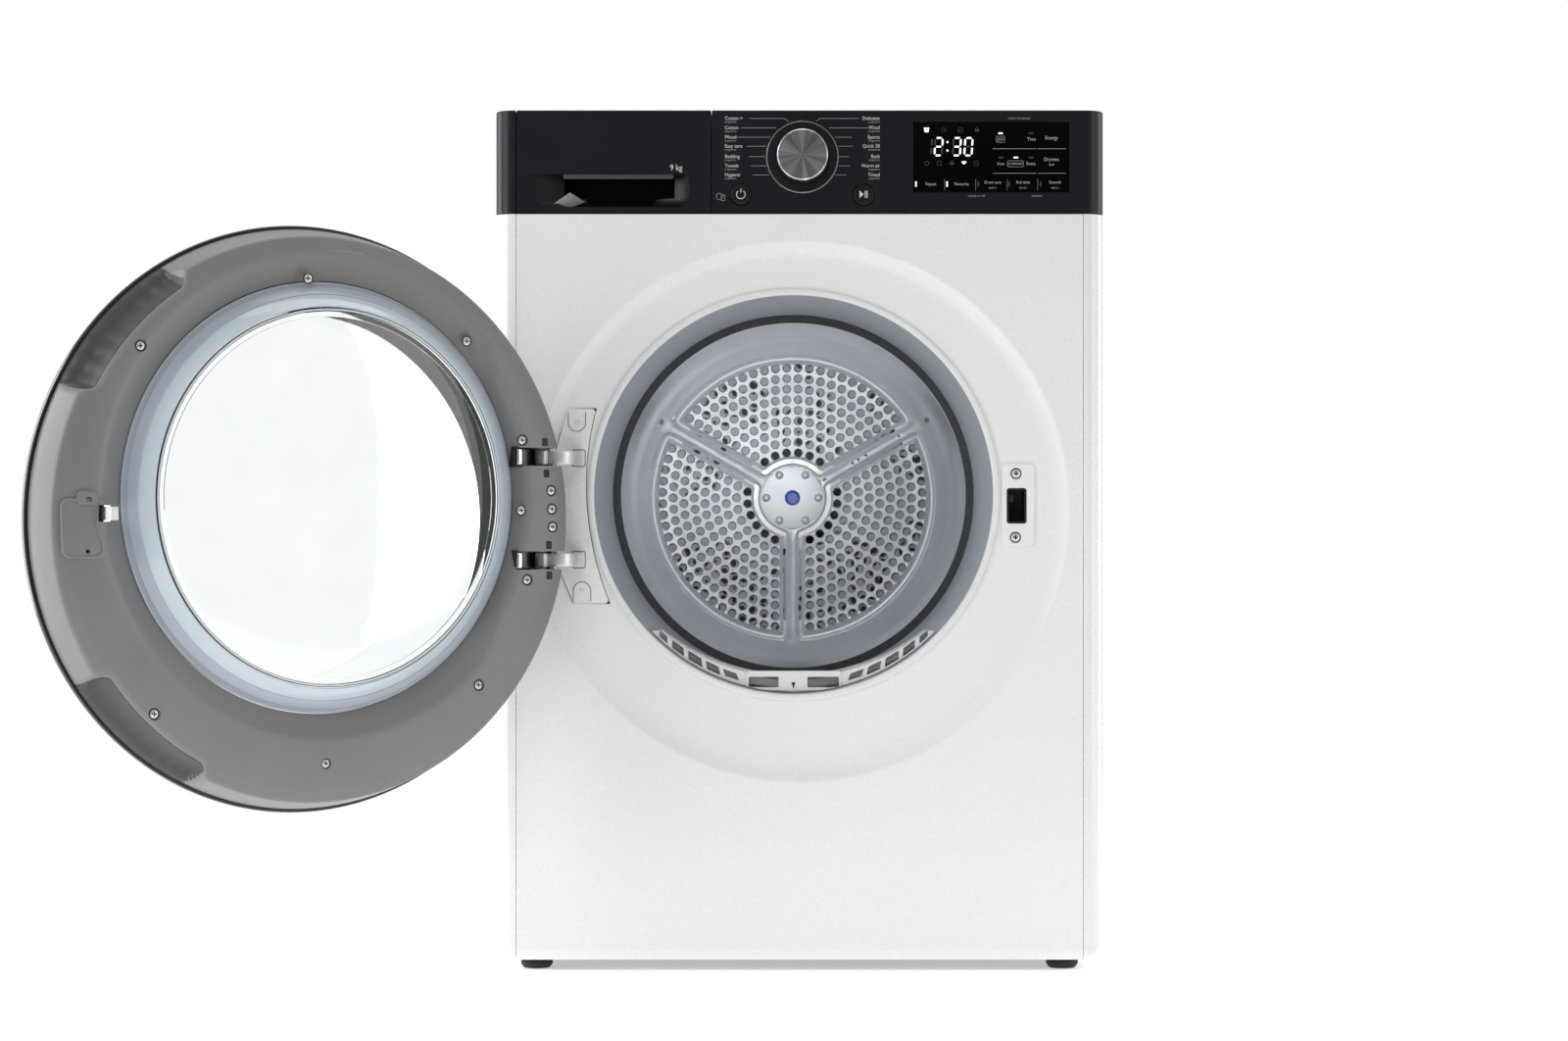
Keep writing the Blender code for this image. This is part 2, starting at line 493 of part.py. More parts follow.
def build_drive(steel, plastic, chrome, rubber):
    circles = [
        (*AXIS, DRUM_R + BELT_CLEAR + BELT_THICK / 2),
        (*IDLER, -(IDLER_R + BELT_CLEAR + BELT_THICK / 2)),
        (*MOTOR, PULLEY_R + BELT_CLEAR + BELT_THICK / 2),
    ]
    bm = bmesh.new()
    loops = []
    for offset, at in ((1, 0), (1, 1), (-1, 1), (-1, 0)):
        points = belt_loop(circles, offset * BELT_THICK / 2)
        loops.append([bm.verts.new((x, depth(BELT_DEPTH[at]), z)) for x, z in points])
    for first, second in zip(loops, loops[1:] + loops[:1]):
        bridge(bm, first, second)
    piece("drive_belt", bm, rubber)

    body = [(0.0085, 0.300), (0.050, 0.300), (0.058, 0.308), (0.058, 0.392), (0.050, 0.400), (0.0085, 0.400)]
    piece("motor_housing", turned(body, MOTOR, MEDIUM), steel)
    flange_r = PULLEY_R + 0.003
    low, high = BELT_DEPTH
    rotor = [
        (0, low - 0.004), (flange_r, low - 0.004), (flange_r, low - 0.001), (PULLEY_R, low - 0.0005),
        (PULLEY_R, high + 0.0005), (flange_r, high + 0.001), (flange_r, high + 0.004), (0.0060, high + 0.004),
        (0.0060, 0.470), (0, 0.470),
    ]
    motor = (MOTOR[0], FRONT_Y, MOTOR[1])
    piece("motor_rotor", turned(rotor, MOTOR, SMALL), chrome, motor)
    hub = [
        (0.0065, 0.4300), (0.0130, 0.4300), (0.0130, 0.4600), (0.0690, 0.4600), (0.0690, 0.4625), (0.0065, 0.4625),
    ]
    wheel = piece("blower_wheel", turned(hub, MOTOR, MEDIUM), plastic, motor)
    blades = bmesh.new()
    for i in range(12):
        blade = box((0.050, 0.4250, -0.0010), (0.067, 0.4612, 0.0010))
        turn = Matrix.Rotation(math.tau * i / 12, 4, "Y")
        bmesh.ops.transform(blade, matrix=Matrix.Translation((MOTOR[0], 0, MOTOR[1])) @ turn, verts=blade.verts)
        mesh = bpy.data.meshes.new("blade")
        blade.to_mesh(mesh)
        blade.free()
        blades.from_mesh(mesh)
    combine(wheel, blades, "UNION")

    def scroll(start_r, end_r, steps=24):
        """A snail outline that opens towards the top."""
        turns = [i / steps for i in range(steps + 1)]
        spots = [(start_r + (end_r - start_r) * t, math.pi / 2 + math.tau * t) for t in turns]
        return [(MOTOR[0] + r * math.cos(a), MOTOR[1] + r * math.sin(a)) for r, a in spots]

    housing = piece("blower_housing", prism(scroll(0.0800, 0.1000), 0.415, 0.478), plastic)
    combine(housing, prism(scroll(0.0775, 0.0975), 0.418, 0.4755))
    combine(housing, cylinder(MOTOR, 0.0550, 0.400, 0.430, MEDIUM))

    arm_depth = (0.2400, 0.2520)
    x, z = ARM_PIVOT
    along = Vector(IDLER) - Vector(ARM_PIVOT)
    side = Vector((-along.y, along.x)).normalized() * 0.009
    bar = [Vector(ARM_PIVOT) - side, Vector(IDLER) - side, Vector(IDLER) + side, Vector(ARM_PIVOT) + side]
    arm = piece("tensioner_arm", prism(bar, *arm_depth), steel, (x, FRONT_Y, z))
    for centre in (ARM_PIVOT, IDLER):
        combine(arm, cylinder(centre, 0.0105, arm_depth[0] - 0.001, arm_depth[1] + 0.001), "UNION")
    combine(arm, cylinder(ARM_PIVOT, 0.0056, 0.2, 0.3))
    combine(arm, cylinder(IDLER, 0.0040, 0.2450, BELT_DEPTH[1] + 0.006), "UNION")
    idler = [
        (0.0045, BELT_DEPTH[0] - 0.001), (IDLER_R, BELT_DEPTH[0] - 0.001), (IDLER_R, BELT_DEPTH[1] + 0.001),
        (0.0045, BELT_DEPTH[1] + 0.001),
    ]
    piece("idler_pulley", turned(idler, IDLER, SMALL), plastic, (IDLER[0], FRONT_Y, IDLER[1]))

    low, high = ROLLER_DEPTH
    roller = [(0.0050, low), (ROLLER_R - 0.002, low), (ROLLER_R, low + 0.002), (ROLLER_R, high - 0.002),
              (ROLLER_R - 0.002, high), (0.0050, high)]
    for name, centre in zip(("drum_roller_left", "drum_roller_right"), roller_centres()):
        piece(name, turned(roller, centre, SMALL), rubber, (centre[0], FRONT_Y, centre[1]))


def build_heat_pump(steel, fins, plastic, copper):
    shell = [(0, 0.006), (0.050, 0.006), (0.058, 0.014), (0.058, 0.115), (0.045, 0.140), (0, 0.150)]
    compressor = (0.115, depth(0.170))
    piece("compressor", turned(shell, compressor, MEDIUM, True), steel)
    for name, start, end, top in (("evaporator", 0.150, 0.250, 0.160), ("condenser", 0.290, 0.400, 0.165)):
        block = piece(name, box((-0.255, start, 0.006), (-0.035, end, top)), fins)
        grooves = []
        for i in range(10):
            x = -0.2450 + 0.0215 * i
            grooves += [(x, start - 0.01, 0.020), (x + 0.012, end + 0.01, top - 0.012)]
        combine(block, box(*[c for pair in zip(grooves[::2], grooves[1::2]) for c in shallow(pair, start, end)]))

    pump = piece("condensate_pump", box((-0.210, 0.440, 0.006), (-0.140, 0.520, 0.040)), plastic)
    combine(pump, cylinder((-0.175, depth(0.480)), 0.026, 0.030, 0.085, SMALL, True), "UNION")

    curve = bpy.data.curves.new("refrigerant_pipe", "CURVE")
    curve.dimensions = "3D"
    curve.bevel_depth, curve.bevel_resolution, curve.use_fill_caps = 0.004, 2, True
    route = [
        (0.115, 0.170, 0.1506), (0.115, 0.172, 0.162), (0.098, 0.182, 0.169), (0.060, 0.205, 0.145),
        (0.020, 0.232, 0.098), (-0.004, 0.268, 0.080), (-0.014, 0.318, 0.092), (-0.0240, 0.338, 0.100),
        (-0.0345, 0.340, 0.100),
    ]
    spline = curve.splines.new("POLY")
    points = smooth_route([Vector((x, depth(d), z)) for x, d, z in route], 3)
    spline.points.add(len(points) - 1)
    for point, spot in zip(spline.points, points):
        point.co = (*spot, 1.0)
    pipe = bpy.data.objects.new("refrigerant_pipe", curve)
    bpy.context.scene.collection.objects.link(pipe)
    curve.materials.append(copper)


def shallow(pair, start, end):
    """Two grooves, one in each face of a finned block, that leave a web between them."""
    (x0, _, z0), (x1, _, z1) = pair
    middle = (start + end) / 2
    return [(x0, start - 0.01, z0), (x1, middle - 0.002, z1), (x0, middle + 0.002, z0), (x1, end + 0.01, z1)]


def smooth_route(points, steps):
    """Points along a Catmull-Rom curve through the given ones."""
    padded = [points[0] * 2 - points[1], *points, points[-1] * 2 - points[-2]]
    found = []
    for a, b, c, d in zip(padded, padded[1:], padded[2:], padded[3:]):
        for i in range(steps):
            t = i / steps
            found.append(
                0.5 * (2 * b + (c - a) * t + (2 * a - 5 * b + 4 * c - d) * t**2 + (3 * b - a - 3 * c + d) * t**3)
            )
    return found + [points[-1]]


def build_hinge_and_latch(steel, chrome, black):
    """The fixed side of the hinge, bolted in the recess, and the latch's socket."""
    reach = 0.2060
    arc = []
    for i in range(9):
        z = 0.3700 + (0.5440 - 0.3700) * i / 8
        arc.append((AXIS[0] - math.sqrt(reach**2 - (z - AXIS[1]) ** 2), z))
    outline = [(-0.1910, 0.3560), (-0.1950, 0.3520), (-0.2280, 0.3520), (-0.2410, 0.4100), (-0.2410, 0.4900),
               (-0.2250, 0.5440)]
    piece("hinge_bracket", prism([*outline, *reversed(arc)], 0.0052, 0.0076), steel)

    start, bend, end = Vector((-0.2165, 0.0048)), Vector((-0.2165, -0.0290)), Vector((-0.2480, -0.0300))
    spots, steps = [], 8
    for i in range(steps + 1):
        t = i / steps
        spot = start * (1 - t) ** 2 + bend * 2 * t * (1 - t) + end * t**2
        way = ((bend - start) * (1 - t) + (end - bend) * t).normalized()
        spots.append((spot, Vector((-way.y, way.x)) * ARM_HALF_WIDTH))
    outline = [s + n for s, n in spots] + [s - n for s, n in reversed(spots)]
    for name, z in zip(("hinge_arm_upper", "hinge_arm_lower"), HINGE_Z):
        low, high = z - ARM_HALF_HEIGHT, z + ARM_HALF_HEIGHT
        arm = piece(name, prism(outline, low, high, True), chrome)
        pivot = (PIVOT[0], depth(PIVOT[1]))
        combine(arm, cylinder(pivot, 0.0065, low - 0.0003, high + 0.0003, SMALL, True), "UNION")
        combine(arm, cylinder(pivot, PIN_R + 0.0005, low - 0.01, high + 0.01, SMALL, True))

    half_x, half_z = LATCH_HALF
    wall = 0.0025
    outer = box((LATCH_X - half_x, 0.0072, LATCH_Z - half_z), (LATCH_X + half_x, 0.0420, LATCH_Z + half_z))
    socket = piece("latch_socket", outer, black)
    inner = box(
        (LATCH_X - half_x + wall, 0.0, LATCH_Z - half_z + wall), (LATCH_X + half_x - wall, 0.0390, LATCH_Z + half_z - wall)
    )
    combine(socket, inner)


def build_door(black, grey, pale, glass, rubber, chrome, white):
    hinge = bpy.data.objects.new("door_hinge_axis", None)
    bpy.context.scene.collection.objects.link(hinge)
    hinge.location = (PIVOT[0], depth(PIVOT[1]), 0)
    hinge.rotation_euler.z = -math.radians(OPEN_ANGLE)
    origin = hinge.location.copy()

    ring = [
        (0.2760, 0.0030), (0.2760, -0.0030), (0.2700, -0.0085), (0.2400, -0.0115), (0.1952, -0.0110),
        (0.1952, -0.0070), (0.2400, -0.0080), (0.2680, -0.0055), (0.2725, -0.0020), (0.2725, 0.0030),
    ]
    piece("door_outer_ring", door_turned(ring, DOOR), black, origin, hinge)
    pane = [(0, -0.0150), (0.1000, -0.0137), (0.1946, -0.0108), (0.1946, -0.0074), (0.1000, -0.0100), (0, -0.0113)]
    piece("door_window", door_turned(pane, DOOR), glass, origin, hinge)

    skin = 0.0025
    outside = [(0, 0.0034), (0.2740, 0.0034), (0.2640, 0.0420), (0.2590, 0.0452), (0.2500, 0.0462), (0, 0.0462)]
    inside = [
        (0, -0.01), (0.2716, -0.01), (0.2714, 0.0034), (0.2616, 0.0400), (0.2580, 0.0426), (0.2495, 0.0437),
        (0, 0.0437),
    ]
    slope = [(0, -0.02), (0.2070, -0.02), (0.2070, 0.0330), (0.2255, 0.0470), (0.2310, 0.0520), (0, 0.0520)]
    behind = [(r + skin if r else 0, h) for r, h in slope]
    liner = piece("door_liner", door_turned(outside, DOOR), grey, origin, hinge)
    kept = [door_turned(behind, GLASS)]
    kept += [sector(DOOR, (0.2400, 0.2900), (a - 1, b + 1), -0.06, 0.02) for a, b in POCKET_ANGLES]
    combine(liner, door_turned(inside, DOOR), less=kept)
    combine(liner, door_turned(slope, GLASS))
    for angles in POCKET_ANGLES:
        combine(liner, sector(DOOR, (0.2440, 0.3000), angles, DOOR_RIM + 0.012, 0.02))
    for z in HINGE_Z:
        combine(liner, box((-0.3, DOOR_RIM + 0.0045, z - 0.009), (-0.204, 0.02, z + 0.009)))
    x, d = HOOK_PIVOT
    combine(liner, box((x - 0.0065, -0.02, HOOK_Z[0] - 0.0015), (x + 0.0095, 0.02, HOOK_Z[1] + 0.0015)))

    frame = [
        (0.2062, 0.0300), (0.2062, 0.0336), (0.2030, 0.0342), (0.1782, 0.0570), (0.1770, 0.0562), (0.1770, 0.0540),
        (0.2000, 0.0322), (0.2000, 0.0300),
    ]
    piece("glass_retaining_ring", door_turned(frame, GLASS), pale, origin, hinge)
    gasket = [(0.1735, 0.0545), (0.1764, 0.0545), (0.1764, 0.0578), (0.1748, 0.0588), (0.1735, 0.0580)]
    piece("glass_gasket", door_turned(gasket, GLASS), rubber, origin, hinge)
    bowl = [
        (0.1730, 0.0520), (0.1730, 0.0575), (0.1500, 0.0610), (0.1000, 0.0640), (0, 0.0660), (0, 0.0620),
        (0.1000, 0.0600), (0.1480, 0.0570), (0.1680, 0.0540), (0.1680, 0.0520),
    ]
    piece("glass_bowl", door_turned(bowl, GLASS), glass, origin, hinge)

    for name, z in zip(("hinge_leaf_upper", "hinge_leaf_lower"), HINGE_Z):
        cheek, thick = 0.0078, 0.0022
        pivot = (PIVOT[0], depth(PIVOT[1]))
        leaf = box((-0.2580, -0.0400, z - cheek - thick), (-0.2150, -0.0385, z + cheek + thick))
        leaf = piece(name, leaf, chrome, origin, hinge)
        for low in (z - cheek - thick, z + cheek):
            combine(leaf, box((-0.2560, -0.0395, low), (-0.2400, -0.0240, low + thick)), "UNION")
        pin = cylinder(pivot, PIN_R, z - cheek - thick - 0.0005, z + cheek + thick + 0.0005, SMALL, True)
        combine(leaf, pin, "UNION")

    outline = [
        (x - 0.0035, -0.0120), (x + 0.0025, -0.0120), (x + 0.0025, 0.0110), (x + 0.0070, 0.0110),
        (x + 0.0030, 0.0180), (x - 0.0035, 0.0180),
    ]
    piece("latch_hook", prism(outline, *HOOK_Z, True), white, (x, depth(d), sum(HOOK_Z) / 2), hinge)


def main():
    for old in list(bpy.data.objects):
        bpy.data.objects.remove(old)
    white = material("white_enamel", (0.86, 0.86, 0.87), 0.3)
    board = material("white_board", (0.86, 0.86, 0.87), 0.35)
    black = material("black_panel", (0.022, 0.023, 0.028), 0.3)
    black_plastic = material("black_plastic", (0.02, 0.02, 0.02), 0.55)
    base_plastic = material("base_plastic", (0.16, 0.17, 0.18), 0.6)
    tank_plastic = material("tank_plastic", (0.72, 0.75, 0.78), 0.45)
    grey = material("grey_liner", (0.24, 0.25, 0.26), 0.5)
    pale = material("pale_ring", (0.58, 0.62, 0.70), 0.35)
    glass = material("door_glass", (0.75, 0.83, 0.88), 0.05, alpha=0.4)
    dark_glass = material("dark_glass", (0.02, 0.02, 0.025), 0.05)
    drum_steel = material("drum_steel", (0.55, 0.57, 0.60), 0.3, 1.0)
    galvanised = material("galvanised_steel", (0.55, 0.57, 0.58), 0.45, 0.9)
    chrome = material("chrome", (0.75, 0.76, 0.78), 0.15, 1.0)
    felt = material("felt", (0.045, 0.046, 0.050), 0.95)
    rubber = material("rubber", (0.03, 0.03, 0.03), 0.8)
    white_plastic = material("white_plastic", (0.80, 0.81, 0.82), 0.4)
    copper = material("copper", (0.72, 0.35, 0.20), 0.3, 1.0)
    green = material("circuit_board", (0.02, 0.20, 0.07), 0.5)
    fins = material("fin_stack", (0.72, 0.73, 0.75), 0.4, 0.9)

    build_cabinet(white, board, base_plastic)
    build_band(black, chrome, dark_glass, green)
    build_drawer(black, tank_plastic)
    build_opening(tank_plastic, felt, white_plastic)
    build_drum(drum_steel, white_plastic, chrome)
    build_drive(galvanised, base_plastic, chrome, rubber)
    build_heat_pump(galvanised, fins, base_plastic, copper)
    build_hinge_and_latch(galvanised, chrome, black_plastic)
    build_door(black, grey, pale, glass, rubber, chrome, white_plastic)


main()
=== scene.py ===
"""The look of a front-loading heat-pump clothes dryer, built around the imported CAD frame.

X runs to the right, Y into the machine, Z up, in metres. A depth is measured from the front plane.
Door pieces are drawn as if the door were shut, then swung open about the hinge.
"""

import json
import math
from mathutils import Matrix, Vector
from mathutils.geometry import delaunay_2d_cdt

import bmesh
import bpy


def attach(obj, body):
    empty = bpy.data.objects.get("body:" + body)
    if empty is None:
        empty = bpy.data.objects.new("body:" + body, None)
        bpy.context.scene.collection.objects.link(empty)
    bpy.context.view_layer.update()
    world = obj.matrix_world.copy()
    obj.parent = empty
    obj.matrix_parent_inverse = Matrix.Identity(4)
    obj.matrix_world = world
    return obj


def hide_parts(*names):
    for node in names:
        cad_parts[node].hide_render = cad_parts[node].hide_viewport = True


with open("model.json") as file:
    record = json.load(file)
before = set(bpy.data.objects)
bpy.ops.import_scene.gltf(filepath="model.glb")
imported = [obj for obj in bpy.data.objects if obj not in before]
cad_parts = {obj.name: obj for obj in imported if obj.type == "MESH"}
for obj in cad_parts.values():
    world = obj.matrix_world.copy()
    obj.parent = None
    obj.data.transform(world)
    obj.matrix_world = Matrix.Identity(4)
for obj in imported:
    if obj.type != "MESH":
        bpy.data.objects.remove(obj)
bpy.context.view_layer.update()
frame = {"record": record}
SUBPARTS = frame["record"]["subparts"]

FRONT_Y, DEPTH, HALF = -0.320, 0.640, 0.300
TOP_Z, COVER_Z, FLOOR_Z = 0.838, 0.8265, -0.012
GAP = 0.0004
CORNER_R, BASE_R = 0.020, 0.0125
SEAM_X = 0.279
FOOT_X, FOOT_DEPTHS = 0.262, (0.052, 0.588)

BAND_Z, BAND_TOP, BAND_DEPTH, BAND_WALL = 0.7357, 0.8374, 0.021, 0.0025
SPLIT_X = -0.087
DIAL, DIAL_R, DIAL_REACH = (0.0027, 0.7914), 0.0255, 0.0255
DIAL_RING_R = 0.0350
POWER, START, BUTTON_R = (-0.0579, 0.7548), (0.0631, 0.7545), 0.010
DISPLAY_X, DISPLAY_Z = (0.1120, 0.2650), (0.7567, 0.8255)
GRIP_X, GRIP_Z = (-0.274, -0.108), (0.7415, 0.7745)
LIP_X = (-0.2324, -0.1234)

RECESS, RECESS_R, RECESS_FLOOR_R, RECESS_DEPTH = (0.0, 0.4425), 0.2650, 0.2540, 0.0080
AXIS, OPENING_R = (-0.006, 0.459), 0.2010
FUNNEL_R, FUNNEL_END = (0.1966, 0.1820), 0.0890
DRUM_R, DRUM_LIP_R, DRUM_FRONT, DRUM_REAR = 0.2780, 0.1760, 0.1000, 0.5200
REAR_FACE = 0.5000
LIFTER_ANGLES = (30, 150, 270)

DOOR, GLASS, DOOR_RIM = (0.0, 0.4348), (-0.006, 0.455), -0.044
PIVOT, OPEN_ANGLE = (-0.252, -0.030), 147
HINGE_Z = (0.495, 0.395)
LATCH_X, LATCH_Z, LATCH_HALF = 0.2140, 0.4480, (0.0103, 0.0180)
HOOK_Z, HOOK_PIVOT = (0.4340, 0.4460), (0.2125, -0.004)

FINE, TURN, MEDIUM, SMALL = 256, 192, 64, 24
TINY = 1e-6
PRINT_THICK = 0.00008

TO_HINGE = Matrix.Translation((PIVOT[0], FRONT_Y + PIVOT[1], 0))
DOOR_SWING = TO_HINGE @ Matrix.Rotation(-math.radians(OPEN_ANGLE), 4, "Z") @ TO_HINGE.inverted()


def depth(d):
    return FRONT_Y + d


# ---------------------------------------------------------------- materials

class Nodes:
    """A short way to write a node tree."""

    def __init__(self, material):
        material.use_nodes = True
        self.tree = material.node_tree
        self.shader = self.tree.nodes["Principled BSDF"]

    def add(self, kind, inputs=(), **settings):
        node = self.tree.nodes.new(kind)
        for key, value in settings.items():
            setattr(node, key, value)
        for key, value in dict(inputs).items():
            if isinstance(value, bpy.types.NodeSocket):
                self.tree.links.new(value, node.inputs[key])
            else:
                node.inputs[key].default_value = value
        return node

    def link(self, start, end):
        self.tree.links.new(start, end)

    def place(self, scale=(1, 1, 1)):
        """The piece's own coordinates, scaled."""
        where = self.add("ShaderNodeTexCoord").outputs["Object"]
        return self.add("ShaderNodeMapping", {"Vector": where, "Scale": scale}).outputs["Vector"]

    def noise(self, scale, detail=3.0, stretch=(1, 1, 1), roughness=0.5):
        return self.add(
            "ShaderNodeTexNoise",
            {"Vector": self.place(stretch), "Scale": scale, "Detail": detail, "Roughness": roughness},
        ).outputs["Fac"]

    def span(self, value, low, high, start=0.3, end=0.7):
        """value between start and end, mapped to low and high."""
        return self.add(
            "ShaderNodeMapRange",
            {"Value": value, "From Min": start, "From Max": end, "To Min": low, "To Max": high},
        ).outputs["Result"]

    def tint(self, value, colour, change):
        """The colour, a little darker and lighter as value varies."""
        mix = self.add("ShaderNodeMix", data_type="RGBA", blend_type="MIX")
        self.link(value, mix.inputs["Factor"])
        mix.inputs[6].default_value = (*[c * (1 - change) for c in colour], 1)
        mix.inputs[7].default_value = (*[min(1, c * (1 + change)) for c in colour], 1)
        return mix.outputs[2]

    def bump(self, height, strength, distance):
        settings = {"Height": height, "Strength": strength, "Distance": distance}
        return self.add("ShaderNodeBump", settings).outputs["Normal"]

    def calculate(self, operation, *values):
        """The result of a maths node on one or two values."""
        return self.add("ShaderNodeMath", dict(enumerate(values)), operation=operation).outputs[0]

    def feed(self, **sockets):
        for key, value in sockets.items():
            socket = self.shader.inputs[key.replace("_", " ")]
            if isinstance(value, bpy.types.NodeSocket):
                self.link(value, socket)
            else:
                socket.default_value = value


def new_material(name):
    made = bpy.data.materials.new(name)
    return made, Nodes(made)


def plastic(name, colour, rough, grain=900.0, height=0.00002, change=0.04, specular=0.5, coat=0.0):
    """Moulded plastic or paint: a fine surface grain, with roughness and colour drifting a little."""
    made, n = new_material(name)
    fine, broad = n.noise(grain, 2.0), n.noise(14.0, 4.0)
    mixed = n.calculate("ADD", fine, broad)
    n.feed(
        Base_Color=n.tint(n.span(broad, 0, 1), colour, change),
        Roughness=n.span(mixed, rough * 0.86, rough * 1.14, 0.7, 1.3),
        Normal=n.bump(fine, 0.6, height),
    )
    n.shader.inputs["Specular IOR Level"].default_value = specular
    n.shader.inputs["Coat Weight"].default_value = coat
    n.shader.inputs["Coat Roughness"].default_value = 0.12
    return made


def enamel(name, colour, rough=0.26):
    """Stoved white paint on sheet: a faint orange peel under a gloss coat."""
    made, n = new_material(name)
    peel, broad = n.noise(420.0, 1.5), n.noise(5.0, 3.0)
    n.feed(
        Base_Color=n.tint(n.span(broad, 0, 1), colour, 0.008),
        Roughness=n.span(peel, rough * 0.9, rough * 1.12),
        Normal=n.bump(peel, 0.2, 0.000012),
    )
    n.shader.inputs["Coat Weight"].default_value = 0.25
    n.shader.inputs["Coat Roughness"].default_value = 0.1
    return made


def metal(name, colour, rough, stretch=(1, 1, 1), scale=600.0, height=0.000012, change=0.05, metallic=1.0):
    """Rolled or polished metal, with fine marks along the way it was worked."""
    made, n = new_material(name)
    marks, broad = n.noise(scale, 4.0, stretch), n.noise(9.0, 5.0)
    mixed = n.calculate("ADD", marks, broad)
    n.feed(
        Base_Color=n.tint(n.span(broad, 0, 1), colour, change),
        Roughness=n.span(mixed, rough * 0.8, rough * 1.25, 0.7, 1.3),
        Normal=n.bump(marks, 0.5, height),
        Metallic=metallic,
    )
    return made


def galvanised(name):
    """Zinc spangle: flat crystals of slightly different brightness."""
    made, n = new_material(name)
    cells = n.add("ShaderNodeTexVoronoi", {"Vector": n.place(), "Scale": 190.0, "Randomness": 1.0})
    shade = n.add("ShaderNodeSeparateColor", {"Color": cells.outputs["Color"]}).outputs[0]
    fine = n.noise(1500.0, 2.0)
    n.feed(
        Base_Color=n.tint(shade, (0.60, 0.60, 0.585), 0.10),
        Roughness=n.span(shade, 0.34, 0.50, 0.0, 1.0),
        Normal=n.bump(fine, 0.4, 0.00001),
        Metallic=0.85,
    )
    return made


def spun_metal(name):
    """A lathe-turned face: fine rings about the piece's own Y axis, which draw the highlights out into rays, with
    painted highlight rays in its base colour.
    """
    made, n = new_material(name)
    parts = n.add("ShaderNodeSeparateXYZ", {"Vector": n.place()})
    x, z = parts.outputs["X"], parts.outputs["Z"]
    squares = n.calculate("ADD", n.calculate("MULTIPLY", x, x), n.calculate("MULTIPLY", z, z))
    line = n.add("ShaderNodeCombineXYZ", {"X": n.calculate("SQRT", squares)}).outputs[0]
    rings = n.add("ShaderNodeTexNoise", {"Vector": line, "Scale": 2600.0, "Detail": 4.0}).outputs["Fac"]
    # Painted highlight: the base colour is made lighter along some directions round the axis and darker along others,
    # for the rays of light on a brushed face.
    turn = n.calculate("ARCTAN2", z, x)
    direction = {"X": n.calculate("COSINE", turn), "Y": n.calculate("SINE", turn)}
    dial = n.add("ShaderNodeCombineXYZ", direction).outputs[0]
    painted_rays = n.add("ShaderNodeTexNoise",
                 {"Vector": dial, "Scale": 1.9, "Detail": 2.0, "Roughness": 0.6}).outputs["Fac"]
    n.feed(
        Base_Color=n.tint(n.span(painted_rays, 0, 1, 0.35, 0.65), (0.60, 0.60, 0.61), 0.42),
        Roughness=n.span(rings, 0.24, 0.36),
        Normal=n.bump(rings, 0.5, 0.00003),
        Metallic=1.0,
    )
    n.shader.inputs["Anisotropic"].default_value = 0.6
    tangent = n.add("ShaderNodeTangent", direction_type="RADIAL", axis="Y")
    n.link(tangent.outputs[0], n.shader.inputs["Tangent"])
    return made


def felt(name):
    made, n = new_material(name)
    fibres, tufts = n.noise(2600.0, 6.0, roughness=0.7), n.noise(260.0, 4.0)
    mixed = n.calculate("ADD", fibres, tufts)
    n.feed(
        Base_Color=n.tint(n.span(mixed, 0, 1, 0.7, 1.3), (0.050, 0.052, 0.058), 0.35),
        Roughness=n.span(fibres, 0.85, 1.0),
        Normal=n.bump(mixed, 0.9, 0.0003),
    )
    n.shader.inputs["Sheen Weight"].default_value = 0.35
    n.shader.inputs["Sheen Roughness"].default_value = 0.5
    return made


def glass(name, colour):
    """Pressed glass with a very slight waviness."""
    rough = 0.015
    made, n = new_material(name)
    wave, smear = n.noise(26.0, 2.0), n.noise(60.0, 4.0)
    n.feed(
        Base_Color=n.tint(n.span(wave, 0, 1), colour, 0.01),
        Roughness=n.span(smear, rough * 0.5, rough * 1.6),
        Normal=n.bump(wave, 0.15, 0.0004),
    )
    n.shader.inputs["Transmission Weight"].default_value = 1.0
    n.shader.inputs["IOR"].default_value = 1.48
    return made


def print_ink(name, colour, glow=0.0):
    """Screen-printed ink or a lit segment."""
    made, n = new_material(name)
    grain = n.noise(3000.0, 2.0)
    n.feed(
        Base_Color=n.tint(n.span(grain, 0, 1), colour, 0.05),
        Roughness=n.span(grain, 0.40, 0.55),
        Normal=n.bump(grain, 0.3, 0.000006),
    )
    if glow:
        n.shader.inputs["Emission Color"].default_value = (*colour, 1)
        n.shader.inputs["Emission Strength"].default_value = glow
    return made


def screen_with_painted_shade():
    """The second perforated plate, seen through the first one's holes, with painted shade: dark dots and patches where
    the holes look black.
    """
    made, n = new_material("screen")
    cells = n.add("ShaderNodeTexVoronoi", {"Vector": n.place(), "Scale": 96.0, "Randomness": 0.4})
    shade_dots = n.span(cells.outputs["Distance"], 0, 1, 0.46, 0.54)
    shade_patches = n.span(n.noise(14.0, 1.0), 0, 1, 0.49, 0.52)
    shade = n.calculate("MAXIMUM", shade_dots, shade_patches)
    fine = n.noise(900.0, 3.0)
    n.feed(
        Base_Color=n.tint(shade, (0.17, 0.175, 0.19), 0.97),
        Roughness=n.span(fine, 0.4, 0.55),
        Normal=n.bump(fine, 0.4, 0.00002),
        Metallic=0.3,
    )
    return made


def plate_finish():
    """Zinc-coated sheet with a dull, slightly mottled skin."""
    made, n = new_material("plate_finish")
    blots, fine = n.noise(150.0, 5.0, roughness=0.65), n.noise(1800.0, 2.0)
    n.feed(
        Base_Color=n.tint(n.span(blots, 0, 1), (0.84, 0.84, 0.82), 0.05),
        Roughness=n.span(blots, 0.42, 0.60),
        Normal=n.bump(fine, 0.5, 0.00001),
        Metallic=0.1,
    )
    return made


